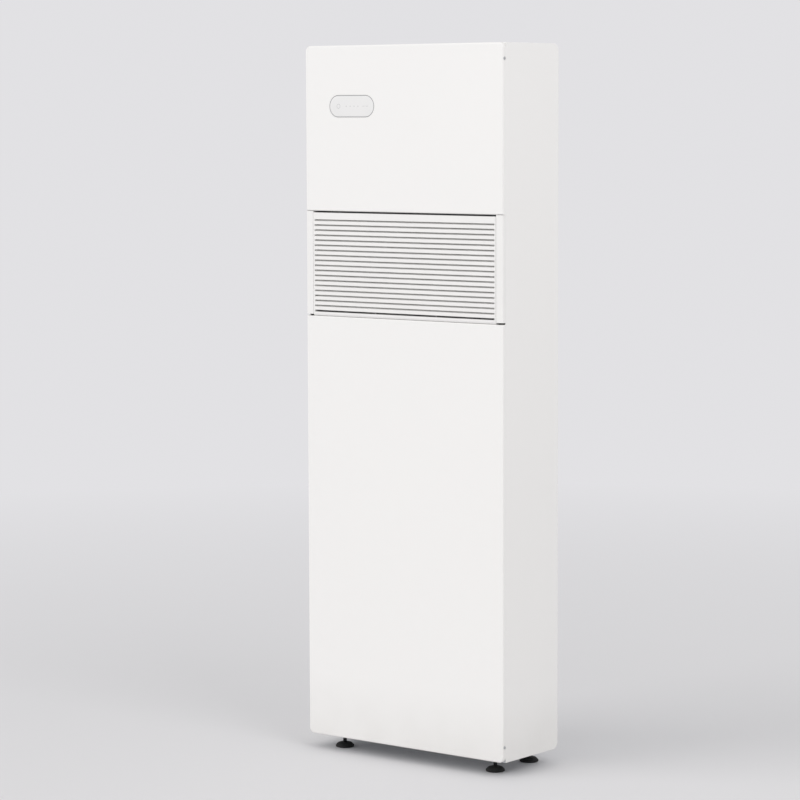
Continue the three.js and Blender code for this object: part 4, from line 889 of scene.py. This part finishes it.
class AIRCON_OT_air_filter(bpy.types.Operator):
    """The washable filter: a frame with a fine net"""
    bl_idname = "aircon.air_filter"
    bl_label = "Air filter"

    def execute(self, context):
        sizes = context.scene.aircon_grille
        low, high, middle = extent("air_filter")
        shape = Shape()
        bar, panes = 6 * MM, 4
        for z in (low.z, (low.z + high.z - bar) / 2, high.z - bar):
            shape.soft_block((low.x, low.y, z), (high.x, high.y, z + bar), 0.6 * MM)
        for i in range(panes + 1):
            x = low.x + i * (high.x - low.x - bar) / panes
            shape.soft_block((x, low.y, low.z), (x + bar, high.y, high.z), 0.6 * MM)
        front, back = middle.y - sizes.thread / 2, middle.y + sizes.thread / 2
        upright = shape.block((low.x + bar, front, low.z + bar / 2),
                              (low.x + bar + sizes.thread, back, high.z - bar / 2))
        shape.repeated(upright, (sizes.net, 0, 0), int((high.x - low.x - 2 * bar) / sizes.net))
        level = shape.block((low.x + bar / 2, front, low.z + bar),
                            (high.x - bar / 2, back, low.z + bar + sizes.thread))
        shape.repeated(level, (0, 0, sizes.net), int((high.z - low.z - 2 * bar) / sizes.net))
        even(shape.piece("air_filter_net", "white_plastic", "air_filter", "grille"))
        return {"FINISHED"}


class AIRCON_OT_display(bpy.types.Operator):
    """The touch lens, its housing and its board"""
    bl_idname = "aircon.display"
    bl_label = "Display"

    def execute(self, context):
        low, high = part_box("display_lens")
        shape = window(0, low.y, high.y)
        shape.rounded(shape.edges(lambda e: lies_at(e, "y", low.y)), 0.5 * MM, 4)
        even(shape.piece("display_lens_touch", "lens", "display_lens"))
        softened("display_housing", 0.6 * MM, lambda e: True, "dark_plastic")
        self.board()
        return {"FINISHED"}

    def board(self):
        """The lacquered board with its driver chip, plug and small parts."""
        low, high, middle = extent("display_board")
        back = low.y + BOARD
        plate = Shape()
        plate.soft_block(low, (high.x, back, high.z), 0.3 * MM)
        plate.piece("display_board_plate", "board", "display_board")
        centre, corner = Vector((middle.x, back, middle.z)), Vector((low.x, back, low.z))
        parts = Shape()
        parts.soft_block(centre - mm(7, 0, 7), centre + mm(7, 1.6, 7), 0.25 * MM)
        leg = parts.block(centre - mm(8.2, 0, 6.2), centre + mm(8.2, 0.5, -5.8))
        parts.repeated(leg, mm(0, 0, 0.8), 16)
        small = parts.soft_block(corner + mm(8, 0, 8), corner + mm(11, 1.2, 9.6), 0.2 * MM)
        parts.repeated(small, mm(5.5, 0, 0), 6)
        parts.piece("display_board_parts", "dark_plastic")
        plug = Shape()
        plug.soft_block((high.x - 20 * MM, back, middle.z - 6 * MM),
                        (high.x - 6 * MM, high.y, middle.z + 6 * MM), 0.4 * MM)
        plug.piece("display_board_plug", "white_plastic")


class AIRCON_OT_outlet(bpy.types.Operator):
    """The top outlet: its frame with guard bars, its flap and the flap's motor"""
    bl_idname = "aircon.outlet"
    bl_label = "Top outlet"

    def execute(self, context):
        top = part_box("outlet_frame")[1].z
        softened("outlet_frame", 0.6 * MM, lambda e: min(v.co.z for v in e.verts) > top - OVER
                 or runs_along(e, "y"), "white_plastic")
        softened("outlet_flap", 0.5 * MM, lambda e: runs_along(e, "x"), "white_plastic")
        self.motor()
        return {"FINISHED"}

    def motor(self):
        """A small geared motor: a case with a fixing plate and a round gearbox."""
        low, high, middle = extent("flap_motor")
        r = (high.z - low.z) / 2
        shape = Shape()
        shape.soft_block(low + mm(0, 0, 2), high - mm(5, 0, 2), MM, 3)
        shape.soft_block((high.x - 5.5 * MM, low.y, low.z), high - mm(3.5, 0, 0), 0.6 * MM)
        shape.turned(profile(((0, high.x), [(0, -4)]), ((r, high.x), [(-0.3, -4), (-0.3, -1), (-1, 0)]),
                             ((0, high.x), [(0, 0)])), "x", middle.y, middle.z, 32)
        even(shape.piece("flap_motor_geared", "dark_plastic", "flap_motor"))


class AIRCON_OT_blower(bpy.types.Operator):
    """The tangential blower: rotor, housing, motor and bearing"""
    bl_idname = "aircon.blower"
    bl_label = "Blower"

    def execute(self, context):
        softened("blower_housing", 0.8 * MM, lambda e: not runs_along(e, "x"), "foam", segments=1)
        self.rotor(context.scene.aircon_air)
        self.motor()
        self.bearing()
        return {"FINISHED"}

    def rotor(self, sizes):
        """Blades between three discs, on a steel shaft."""
        low, high, (_, y, z) = extent("blower_rotor")
        r, inside = (high.z - low.z) / 2, ROTOR_END - DISC
        shape = Shape()
        blade = shape.blade(ROTOR_INNER, r - 0.5 * MM, sizes.blade, ROTOR_LEAN, "x", -inside, inside, y, z)
        shape.round_about(blade, (0, y, z), "x", sizes.blades)
        shape.ring("x", ROTOR_INNER - DISC, r, -DISC / 2, DISC / 2, y, z)
        end = profile(((0, ROTOR_END), [(0, -6), (9, -6), (11, -2)]),
                      ((r, ROTOR_END), [(-0.4, -2), (0, -1.6), (0, -0.4), (-0.4, 0)]),
                      ((0, ROTOR_END), [(8, 0), (6, 0.8), (0, 0.8)]))
        for way in (-1, 1):
            shape.turned([(radius, way * x) for radius, x in end], "x", y, z, 72)
        shape.piece("blower_rotor_bladed", "dark_plastic", "blower_rotor", "blower")
        shaft = Shape()
        shaft.rod("x", SHAFT, low.x, -ROTOR_END, y, z)
        shaft.rod("x", SHAFT, ROTOR_END, high.x, y, z)
        shaft.piece("blower_shaft", "steel", body="blower")

    def motor(self):
        """A drawn steel can with a rolled seam, a stepped end and through bolts."""
        low, high, (_, y, z) = extent("blower_motor")
        r = (high.z - low.z) / 2
        shape = Shape()
        shape.turned(profile(
            ((0, low.x), [(0, 0), (10, 0), (12, 2)]),
            ((r, low.x), [(-7, 3), (-2.5, 5), (-1.5, 8), (-1.5, 15), (0, 15.4), (0, 18.6), (-1.5, 19)]),
            ((r, high.x), [(-1.5, -5), (-3, -2), (-8, -1)]),
            ((0, high.x), [(13, -1), (12, 0), (4.3, 0), (4.3, -16), (0, -16)])), "x", y, z, 64)
        bolt = shape.turned(profile(((0, low.x), [(0, 1.6), (2.4, 1.6), (3, 2.4), (3, 5), (0, 5)])),
                            "x", y, z + r - 9 * MM, 6)
        shape.round_about(bolt, (0, y, z), "x", 4)
        even(shape.piece("blower_motor_can", "steel", "blower_motor"))

    def bearing(self):
        """A rubber bush with a ridge at each end."""
        low, high, (_, y, z) = extent("blower_bearing")
        r = (high.z - low.z) / 2
        shape = Shape()
        shape.turned(profile(
            ((0, low.x), [(4.3, 0)]), ((r, low.x), [(-1, 0), (0, 1), (0, 2.6), (-1, 3)]),
            ((r, high.x), [(-1, -3), (0, -2.6), (0, -1), (-1, 0), (-3, 0), (-4, -1)]),
            ((0, high.x), [(7, -1), (6, 0), (4.3, 0)]), ((0, low.x), [(4.3, 0)])), "x", y, z)
        shape.piece("blower_bearing_bush", "black_rubber", "blower_bearing")


class AIRCON_OT_coils(bpy.types.Operator):
    """The two finned coils, with the tray, partition and shelf that carry them"""
    bl_idname = "aircon.coils"
    bl_label = "Coils"

    def execute(self, context):
        sizes = context.scene.aircon_air
        self.room_coil(sizes)
        self.outside_coil(sizes)
        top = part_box("condensate_tray")[1].z
        softened("condensate_tray", 0.6 * MM, lambda e: max(v.co.z for v in e.verts) > top - OVER, "foam")
        softened("section_partition", MM, lambda e: not runs_along(e, "z"), "foam")
        softened("machine_shelf", 0.25 * MM, lambda e: not runs_along(e, "z"), "zinc_sheet", segments=1)
        return {"FINISHED"}

    def room_coil(self, sizes):
        """Fins across the cabinet, with hairpin tubes that turn outside both end plates."""
        low, high, middle = extent("evaporator_coil")
        half, out = EVAPORATOR_END, EVAPORATOR_END + 3 * MM
        fins = Shape()
        fin = fins.block((END_PLATE - half, low.y + MM, low.z),
                         (END_PLATE - half + sizes.fin_sheet, high.y - MM, high.z))
        fins.repeated(fin, (sizes.fin, 0, 0), int((2 * half - 2 * END_PLATE) / sizes.fin) + 1)
        fins.piece("evaporator_fins", "aluminium", "evaporator_coil")
        ends = Shape()
        for x in (-half, half - END_PLATE):
            ends.soft_block((x, low.y, low.z), (x + END_PLATE, high.y, high.z), 0.3 * MM)
        ends.piece("evaporator_end_plates", "zinc_sheet")
        tubes = Shape()
        for i in range(1, 5):
            z = low.z + TUBE_ROWS * i
            tubes.hairpin("x", middle.y, -out, out + HAIRPIN, z, sizes.pipe)
            tubes.hairpin("x", middle.y, -half, -out - HAIRPIN, z, sizes.pipe)
        tubes.piece("evaporator_tubes", "copper")

    def outside_coil(self, sizes):
        """Fins from front to back, with hairpin tubes that turn in front and behind."""
        low, high, middle = extent("condenser_coil")
        start, end = low.y + CONDENSER_TURNS, high.y - CONDENSER_TURNS
        fins = Shape()
        fin = fins.block((low.x + MM, start, low.z), (high.x - MM, start + sizes.fin_sheet, high.z))
        fins.repeated(fin, (0, sizes.fin, 0), int((end - start) / sizes.fin) + 1)
        fins.piece("condenser_fins", "aluminium", "condenser_coil")
        ends = Shape()
        for y in (start - END_PLATE, end):
            ends.soft_block((low.x, y, low.z), (high.x, y + END_PLATE, high.z), 0.3 * MM)
        ends.piece("condenser_end_plates", "zinc_sheet")
        tubes = Shape()
        count = int((high.z - low.z) / TUBE_ROWS)
        for i in range(count):
            z = low.z + (high.z - low.z) * (i + 0.5) / count
            for way in (1, -1):
                tubes.hairpin("y", middle.x, start, way * (high.y - sizes.pipe), z, sizes.pipe)
        tubes.piece("condenser_tubes", "copper")


class AIRCON_OT_outside_fan(bpy.types.Operator):
    """The outside air fan and the duct collars"""
    bl_idname = "aircon.outside_fan"
    bl_label = "Outside fan"

    def execute(self, context):
        self.collar("exhaust_duct_collar")
        self.collar("intake_duct_collar")
        centre = extent("intake_duct_collar")[2]
        mouth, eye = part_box("outdoor_fan_scroll")[1].y, 66 * MM

        def inlet(edge):
            return lies_at(edge, "y", mouth) and all((v.co - centre).xz.length < eye for v in edge.verts)

        softened("outdoor_fan_scroll", 1.8 * MM, inlet, "grey_plastic", segments=4)
        self.wheel(context.scene.aircon_air, centre.x, centre.z)
        self.motor(centre.x, centre.z)
        return {"FINISHED"}

    def collar(self, node):
        """A duct socket: a short tube with a flange inside the rear panel and a rounded lip."""
        low, high, middle = extent(node)
        wide = (high.x - low.x) / 2
        r, rear = wide - COLLAR_FLANGE, high.y - 1.5 * MM
        shape = Shape()
        shape.turned(profile(
            ((r, low.y), [(-3, 0), (-0.5, 0), (0, 0.5)]), ((r, rear), [(0, -3)]),
            ((wide, rear), [(-0.5, -3), (0, -2.5), (0, -0.5), (-0.5, 0)]), ((r, rear), [(0, 0)]),
            ((r, high.y), [(0, -0.6), (-0.6, 0), (-2, 0), (-2.7, -0.3), (-3, -1)]),
            ((r, low.y), [(-3, 0)])), "y", middle.x, middle.z, 96)
        even(shape.piece(node + "_socket", "grey_plastic", node))

    def wheel(self, sizes, x, z):
        """Blades between a back plate and a front ring, with a ribbed hub and a nut on the shaft."""
        low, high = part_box("outdoor_fan_wheel")
        r, back, plate = (high.x - low.x) / 2, WHEEL_BACK, 2.5 * MM
        inner, front = r - 16 * MM, high.y
        shape = Shape()
        shape.turned(profile(((0, back), [(0, 0)]), ((r, back), [(-0.5, 0), (0, 0.5), (0, 2.5)]),
                             ((0, back), [(0, 2.5)])), "y", x, z, 96)
        blade = shape.blade(inner, r - 0.5 * MM, sizes.blade, WHEEL_LEAN, "y", back + plate / 2,
                            front - plate / 2, x, z)
        shape.round_about(blade, (x, 0, z), "y", sizes.wheel)
        shape.ring("y", inner + 1.6 * MM, r, front - plate, front, x, z, 0.6 * MM, 96)
        shape.turned(profile(((0, back), [(0, 20), (9, 20), (10, 19.4), (11.5, 16), (15, 9.5), (17, 7),
                                          (18, 4), (18, 1), (0, 1)])), "y", x, z, 64)
        rib = shape.soft_block((x + 16 * MM, back + plate / 2, z - 0.9 * MM),
                               (x + inner - MM, back + 7 * MM, z + 0.9 * MM), 0.4 * MM)
        shape.round_about(rib, (x, 0, z), "y", 8)
        shape.piece("outdoor_fan_wheel_bladed", "dark_plastic", "outdoor_fan_wheel", "outdoor_fan")
        shaft = Shape()
        shaft.rod("y", SHAFT, low.y, back, x, z)
        shaft.rod("y", 6.5 * MM, back + 20 * MM, back + 24 * MM, x, z, 0.6 * MM, 6)
        shaft.rod("y", 3.4 * MM, back + 24 * MM, back + 29 * MM, x, z, 0.6 * MM, 24)
        shaft.piece("outdoor_fan_shaft", "steel", body="outdoor_fan")

    def motor(self, x, z):
        """A drawn steel can with a rolled seam and three ears."""
        low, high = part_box("outdoor_fan_motor")
        shape = Shape()
        shape.turned(profile(
            ((0, low.y), [(0, 0), (12, 0), (14, 2)]), ((FAN_MOTOR, low.y), [(-8, 3), (-3, 5.5), (-1.6, 9)]),
            ((FAN_MOTOR, high.y), [(-1.6, -14), (0, -13.6), (0, -10.4), (-1.6, -10), (-1.6, -2), (-3, 0)]),
            ((0, high.y), [(4.3, 0), (4.3, -20), (0, -20)])), "y", x, z, 72)
        for a, b in thirds(x, z, FAN_EARS):
            shape.ring("y", 2.6 * MM, 9 * MM, high.y - 4 * MM, high.y, a, b, 0.4 * MM, 32)
        even(shape.piece("outdoor_fan_motor_can", "steel", "outdoor_fan_motor"))


class AIRCON_OT_compressor(bpy.types.Operator):
    """The compressor with its mounts, accumulator and pipes"""
    bl_idname = "aircon.compressor"
    bl_label = "Compressor"

    def execute(self, context):
        self.shell()
        self.foot_plate()
        for i in (1, 2, 3):
            self.mount(f"compressor_mount_{i}")
        self.accumulator()
        self.pipes()
        self.drain()
        return {"FINISHED"}

    def vessel(self, shape, x, y, low, high, r, dome, seams):
        """A welded pressure shell: round ends and proud weld seams."""
        def end(start, way):
            return [(r * math.sin(TURN * i / 32), start + way * dome * (1 - math.cos(TURN * i / 32)))
                    for i in range(9)]
        wall = profile(*[((r, seam), [(0, -2), (0.4, -1), (0.6, 0), (0.4, 1), (0, 2)]) for seam in seams])
        shape.turned(end(low, 1) + wall + end(high, -1)[::-1], "z", x, y, 64)

    def shell(self):
        """The compressor's vessel, with the terminal cap and the discharge stub on its top."""
        low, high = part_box("compressor")
        x, y, top = COMPRESSOR
        shape = Shape()
        self.vessel(shape, x, y, low.z, top, 55.4 * MM, 26 * MM, (low.z + 36 * MM, top - 38 * MM))
        shape.turned(profile(((0, top), [(0, -14), (16, -14)]),
                             ((0, high.z), [(16, -2.5), (13.5, -0.4), (11, 0), (0, 0)])),
                     "z", x, y - 24 * MM, 40)
        shape.rod("z", 6 * MM, top - 8 * MM, top + 4 * MM, x, y, 0.5 * MM, 24)
        even(shape.piece("compressor_shell", "black_enamel", "compressor"))

    def foot_plate(self):
        """A plate with three rounded corners, each with a hole for its mount."""
        x, y, _ = COMPRESSOR
        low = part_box("compressor")[0]
        outline = []
        for angle, (cx, cy) in zip(THIRDS, thirds(x, y, MOUNTS)):
            for step in range(9):
                turn = math.radians(angle - 60 + 15 * step)
                outline.append((cx + 12 * MM * math.cos(turn), cy + 12 * MM * math.sin(turn)))
        plate = Shape()
        plate.drawn(outline, "z", low.z, low.z + 3 * MM)
        plate.rounded(plate.edges(lambda e: not runs_along(e, "z")), 0.5 * MM, 2)
        foot = plate.piece("compressor_foot_plate", "black_enamel")
        holes = []
        for a, b in thirds(x, y, MOUNTS):
            hole = Shape()
            hole.rod("z", 4.8 * MM, low.z - OVER, low.z + 4 * MM, a, b)
            holes.append(hole)
        carve(foot, *holes)

    def mount(self, node):
        """A rubber grommet with two waists, a shoulder and a neck."""
        low, high, (x, y, _) = extent(node)
        r, tall = (high.x - low.x) / 2, MOUNT_TOP - low.z
        waist = [(r - back * MM, low.z + tall * share) for back, share in
                 ((0.4, 0.2), (2.6, 0.34), (1.2, 0.5), (2.6, 0.66), (0.4, 0.8))]
        shape = Shape()
        shape.turned(profile(((0, low.z), [(0, 0)]), ((r, low.z), [(-0.8, 0), (0, 0.8)])) + waist
                     + profile(((r, MOUNT_TOP), [(0, -0.8), (-0.8, 0)]), ((0, MOUNT_TOP), [(4.5, 0)]),
                               ((0, high.z), [(4.5, -0.4), (4.1, 0), (0, 0)])), "z", x, y, 40)
        shape.piece(node + "_grommet", "black_rubber", node, crease=50)

    def accumulator(self):
        """A small vessel with its copper elbow and steel strap to the compressor."""
        x, y = ACCUMULATOR
        wall = 61.7 * MM       # x of the compressor's side
        shape = Shape()
        self.vessel(shape, x, y, 112 * MM, 262 * MM, 24.4 * MM, 12 * MM, (128 * MM, 246 * MM))
        shape.piece("accumulator_shell", "black_enamel", "suction_accumulator")
        elbow = Shape()
        elbow.pipe([(x, y, 118 * MM), (x, y, 92 * MM), (wall, y, 92 * MM)], 5 * MM, BEND)
        elbow.piece("accumulator_elbow", "copper")
        strap = Shape()
        strap.ring("z", 24.4 * MM, 25 * MM, 190 * MM, 204 * MM, x, y, 0.1 * MM, 64)
        strap.soft_block((x + 24 * MM, y - 8 * MM, 187 * MM), (wall, y + 8 * MM, 207 * MM), MM, 3)
        strap.piece("accumulator_strap", "steel")

    def pipes(self):
        """Copper pipes with round bends."""
        for node, (radius, points) in PIPE_RUNS.items():
            shape = Shape()
            shape.pipe([mm(*point) for point in points], radius * MM, BEND)
            shape.piece(node + "_bent", "copper", node)

    def drain(self):
        """A plastic drain tube, open at its foot, with sockets at its joints."""
        low, high, (x, y, _) = extent("condensate_drain_pipe")
        r = (high.x - low.x) / 2
        shape = Shape()
        shape.turned(profile(
            ((0, low.z), [(0, 30)]), ((r, low.z), [(-1.8, 30), (-1.8, 0), (-0.5, 0)]),
            ((r, 0), [(-0.5, 300), (0, 302), (0, 330), (-0.5, 332)]),
            ((r, high.z), [(-0.5, -22), (0, -20), (0, -0.4), (-0.5, 0)]), ((0, high.z), [(0, 0)])),
            "z", x, y, 32)
        shape.piece("condensate_drain_tube", "grey_plastic", "condensate_drain_pipe")


class AIRCON_OT_electrics(bpy.types.Operator):
    """The control box, its cover and board, and the cable gland"""
    bl_idname = "aircon.electrics"
    bl_label = "Electrics"

    def execute(self, context):
        softened("control_box", 0.5 * MM, lambda e: runs_along(e, "z") or runs_along(e, "x"), "zinc_sheet")
        self.cover()
        self.board()
        self.gland()
        return {"FINISHED"}

    def cover(self):
        """The box's cover with cooling slots and four screws."""
        low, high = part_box("control_box_cover")
        shape = Shape()
        shape.soft_block(low, high, 0.4 * MM)
        cover = shape.piece("control_box_cover_pressed", "zinc_sheet", "control_box_cover")
        slots = Shape()
        slot = slots.block((low.x + 50 * MM, low.y - OVER, high.z - 40 * MM),
                           (high.x - 50 * MM, high.y + OVER, high.z - 37 * MM))
        slots.repeated(slot, mm(0, 0, -9), 6)
        carve(cover, slots)
        screws = Shape()
        for x in (low.x + 8 * MM, high.x - 8 * MM):
            for z in (low.z + 8 * MM, high.z - 8 * MM):
                screws.turned(profile(((0, high.y), [(0, 0), (3, 0)]),
                                      ((0, low.y), [(3, -0.6), (2.2, -1.4), (0, -1.7)])), "y", x, z, 24)
        screws.piece("control_box_cover_screws", "steel")

    def board(self):
        """The power board: plate and posts, capacitors, heat sink, relays, plugs."""
        low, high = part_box("control_board")
        face = BOARD_FACE
        left, right = Vector((low.x, face, low.z)), Vector((high.x, face, low.z))
        plate = Shape()
        plate.soft_block(left, (high.x, face + BOARD, high.z), 0.3 * MM)
        plate.piece("control_board_plate", "board", "control_board")
        posts = Shape()
        for x in (low.x + 6 * MM, high.x - 6 * MM):
            for z in (low.z + 6 * MM, high.z - 6 * MM):
                posts.rod("y", 3 * MM, face + BOARD, high.y, x, z, 0.3 * MM, 6)
                posts.rod("y", 2.8 * MM, face - 1.6 * MM, face, x, z, 0.5 * MM, 24)
        posts.piece("control_board_posts", "steel")
        cans, r = Shape(), 11 * MM
        can = profile(((0, low.y), [(0, 0.3)]), ((r, low.y), [(-1.6, 0.3), (-1.2, 0), (-0.4, 0.2), (0, 1)]),
                      ((r, face), [(0, -4), (-0.8, -3.2), (0, -2.4), (0, 0)]), ((0, face), [(0, 0)]))
        for i in range(3):
            cans.turned(can, "y", low.x + (24 + 28 * i) * MM, low.z + 40 * MM, 40)
        cans.piece("control_board_capacitors", "dark_plastic")
        self.heat_sink(low.x + 14 * MM, high.x - 14 * MM, high.z - 24 * MM)
        relays = Shape()
        relays.soft_block(right + mm(-50, -17, 80), right + mm(-22, 0, 104), 0.8 * MM, 3)
        relays.soft_block(left + mm(16, -12, 78), left + mm(52, 0, 110), 0.8 * MM, 3)
        relays.piece("control_board_relays", "dark_plastic")
        plugs = Shape()
        for i in range(4):
            corner = left + mm(18 + 26 * i, 0, 8)
            plugs.soft_block(corner - mm(0, 10, 0), corner + mm(18, 0, 8), 0.5 * MM)
        plugs.piece("control_board_plugs", "white_plastic")

    def heat_sink(self, left, right, top):
        """A comb of fins on the power board."""
        front, root, tall = BOARD_FACE - 23 * MM, BOARD_FACE - 6 * MM, 52 * MM
        fin, pitch = 2.5 * MM, 7.5 * MM
        comb, x = [(left, BOARD_FACE)], left
        while x < right - 2 * MM:
            comb += [(x, front), (x + fin, front), (x + fin, root), (x + pitch, root)]
            x += pitch
        sink = Shape()
        sink.drawn([(min(a, right), b) for a, b in comb] + [(right, BOARD_FACE)], "z", top - tall, top)
        sink.piece("control_board_heat_sink", "aluminium")

    def gland(self):
        """A hexagonal gland with a closed membrane."""
        low, high, (x, y, _) = extent("cable_gland")
        shape = Shape()
        shape.turned(profile(((0, low.z), [(0, 0.6), (4.5, 0.6), (5.4, 0), (7, 0.5), (9, 3), (10, 3.4),
                                           (0, 3.4)])), "z", x, y)
        shape.rod("z", (high.x - low.x) / 2, low.z + 3 * MM, low.z + 7.7 * MM, x, y, 0.7 * MM, 6)
        root, crest, pitch = 8.3 * MM, 9 * MM, 1.5 * MM
        outline, z = [(0, low.z + 7 * MM), (root, low.z + 7 * MM)], low.z + 8 * MM
        while z < high.z - pitch:
            outline += [(root, z), (crest, z + pitch / 2)]
            z += pitch
        shape.turned(outline + [(root, z), (root, high.z), (0, high.z)], "z", x, y)
        shape.piece("cable_gland_threaded", "black_rubber", "cable_gland")


class AIRCON_OT_feet(bpy.types.Operator):
    """The levelling feet: moulded pads on threaded stems"""
    bl_idname = "aircon.feet"
    bl_label = "Levelling feet"

    def execute(self, context):
        for end in ("front", "rear"):
            for side in SIDES:
                self.foot(f"{end}_{side}", context.scene.aircon_fixings)
        return {"FINISHED"}

    def foot(self, which, sizes):
        pad_node, stem_node = f"foot_pad_{which}", f"foot_stem_{which}"
        low, high, (x, y, _) = extent(pad_node)
        r = (high.x - low.x) / 2
        pad = Shape()
        pad.turned(profile(
            ((0, 0), [(0, 0)]),
            ((r, 0), [(-1.2, 0), (0, 0.8), (0, 3.8), (-0.7, 4.6), (-1.6, 5), (-2.6, 6.6), (-4.6, 8.2),
                      (-7, 9.2)]),
            ((r, high.z), [(-9, -0.2), (-10, 0)]), ((0, high.z), [(0, 0)])), "z", x, y, 56)
        pad.piece(pad_node + "_moulded", "black_rubber", pad_node, f"foot_{which}")
        low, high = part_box(stem_node)
        crest = (high.x - low.x) / 2
        root, z = crest - sizes.depth, low.z + 0.2 * MM
        outline = [(0, low.z), (root, low.z)]
        while z + sizes.thread < high.z - 0.5 * MM:
            outline += [(root, z), (crest, z + sizes.thread / 2)]
            z += sizes.thread
        outline += [(root, z), (root, high.z - 0.3 * MM), (0, high.z)]
        stem = Shape()
        stem.turned(outline, "z", x, y, 24)
        stem.piece(stem_node + "_threaded", "steel", stem_node, f"foot_{which}", "blackened_steel", 60)


class AIRCON_OT_stage(bpy.types.Operator):
    """A plain pale floor, soft studio light and the camera"""
    bl_idname = "aircon.stage"
    bl_label = "Stage"

    def execute(self, context):
        stage = context.scene.aircon_stage
        self.floor(stage)
        self.world(context, stage)
        self.lamp("key_lamp", (-8.6, -12.9, 7.4), (0, 0, 0.6), 13, stage.key)
        self.lamp("side_lamp", (3.6, -1.2, 3.6), (0, 0, 1.2), 2.4, stage.side)
        self.camera(context, stage)
        context.scene.view_settings.view_transform = "Standard"
        return {"FINISHED"}

    def floor(self, stage):
        """A wide pale floor that fades into the backdrop's colour with distance."""
        shape = Shape()
        bmesh.ops.create_circle(shape.bm, cap_ends=True, radius=9, segments=96)
        floor = new_object("floor", shape.mesh("floor"))
        ground = Recipe("pale_floor", shown=False, Specular_IOR_Level=0.2)
        ground.put("Roughness", 0.75 + 0.1 * ground.noise(6, 3))
        ground.put("Base Color", ground.mix(ground.noise(1.5, 3), shade(stage.ground, 1),
                                            shade(stage.ground, 0.985)))
        ground.bump(ground.noise(300), 0.05 * MM, 0.3)
        x, y, _ = ground.coordinates()
        far = (((x ** 2 + y ** 2) ** 0.5 - 1.0) / 3.5).held()
        glow = ground.node("ShaderNodeEmission", None, {"Color": shade(stage.backdrop, 1)})
        ground.show(ground.node("ShaderNodeMixShader", None, {0: far, 1: ground.surface, 2: glow}))
        floor.data.materials.append(ground.material)

    def world(self, context, stage):
        """Even light from all round, with the backdrop's colour where it shows."""
        world = bpy.data.worlds.new("plain_room")
        context.scene.world = world
        world.use_nodes = True
        room = Graph(world.node_tree)
        light = room.node("ShaderNodeBackground", None, {"Color": (1, 1, 1, 1), "Strength": stage.daylight})
        seen = room.node("ShaderNodeBackground", None, {"Color": shade(stage.backdrop, 1)})
        camera, glossy, through = [room.node("ShaderNodeLightPath", output=f"Is {kind} Ray")
                                   for kind in ("Camera", "Glossy", "Transmission")]
        shown = (camera + glossy + through).held()
        room.node("ShaderNodeOutputWorld", None,
                  {"Surface": room.node("ShaderNodeMixShader", None, {0: shown, 1: light, 2: seen})})

    def lamp(self, name, place, target, size, power):
        """A square lamp of slightly warm light, aimed at a point."""
        lamp = bpy.data.lights.new(name, "AREA")
        lamp.shape = "SQUARE"
        lamp.size = size
        lamp.energy = power
        lamp.color = (1, 0.995, 0.985)
        made = new_object(name, lamp)
        made.location = place
        made.rotation_euler = (Vector(target) - Vector(place)).to_track_quat("-Z", "Y").to_euler()

    def camera(self, context, stage):
        """The photograph's viewpoint, fitted to the cabinet's corners."""
        camera = bpy.data.cameras.new("camera")
        camera.lens = stage.lens
        camera.sensor_width = 36
        camera.clip_end = 100
        place, angles = (3.6845, -4.7795, 1.3026), (38.223, 5.465, -0.199)
        yaw, pitch, roll = (math.radians(a) for a in angles)
        back = Vector((math.sin(yaw) * math.cos(pitch), -math.cos(yaw) * math.cos(pitch), math.sin(pitch)))
        right = Vector((math.cos(yaw), math.sin(yaw), 0))
        up = back.cross(right)
        turned_right = right * math.cos(roll) + up * math.sin(roll)
        turned_up = up * math.cos(roll) - right * math.sin(roll)
        made = new_object("camera", camera)
        made.matrix_world = (Matrix.Translation(place)
                             @ Matrix((turned_right, turned_up, back)).transposed().to_4x4())
        context.scene.camera = made


class AIRCON_PT_panel(bpy.types.Panel):
    """Lists the air conditioner's pieces and settings"""
    bl_idname = "AIRCON_PT_panel"
    bl_label = "Air conditioner"
    bl_space_type = "VIEW_3D"
    bl_region_type = "UI"
    bl_category = "Air conditioner"

    def draw(self, context):
        layout = self.layout
        for group in GROUPS:
            settings = getattr(context.scene, group)
            box = layout.box()
            for field in settings.__annotations__:
                box.prop(settings, field)
        for operator in STEPS:
            layout.operator(operator.bl_idname)


GROUPS = {
    "aircon_cabinet": AirconCabinet,
    "aircon_grille": AirconGrille,
    "aircon_air": AirconAir,
    "aircon_fixings": AirconFixings,
    "aircon_colours": AirconColours,
    "aircon_stage": AirconStage,
}
STEPS = (
    AIRCON_OT_finishes, AIRCON_OT_front_panels, AIRCON_OT_case, AIRCON_OT_panel_screws, AIRCON_OT_grille,
    AIRCON_OT_air_filter, AIRCON_OT_display, AIRCON_OT_outlet, AIRCON_OT_blower, AIRCON_OT_coils,
    AIRCON_OT_outside_fan, AIRCON_OT_compressor, AIRCON_OT_electrics, AIRCON_OT_feet, AIRCON_OT_stage,
)


def register():
    for made in (*GROUPS.values(), *STEPS, AIRCON_PT_panel):
        bpy.utils.register_class(made)
    for name, group in GROUPS.items():
        setattr(bpy.types.Scene, name, bpy.props.PointerProperty(type=group))


def unregister():
    for name in GROUPS:
        delattr(bpy.types.Scene, name)
    for made in (AIRCON_PT_panel, *reversed(STEPS), *reversed(list(GROUPS.values()))):
        bpy.utils.unregister_class(made)


def main():
    """Makes every piece in order."""
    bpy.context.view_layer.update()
    register()
    for step in STEPS:
        family, name = step.bl_idname.split(".")
        if getattr(getattr(bpy.ops, family), name)() != {"FINISHED"}:
            raise RuntimeError(f"{step.bl_label} didn't finish")


if __name__ == "__main__":
    main()
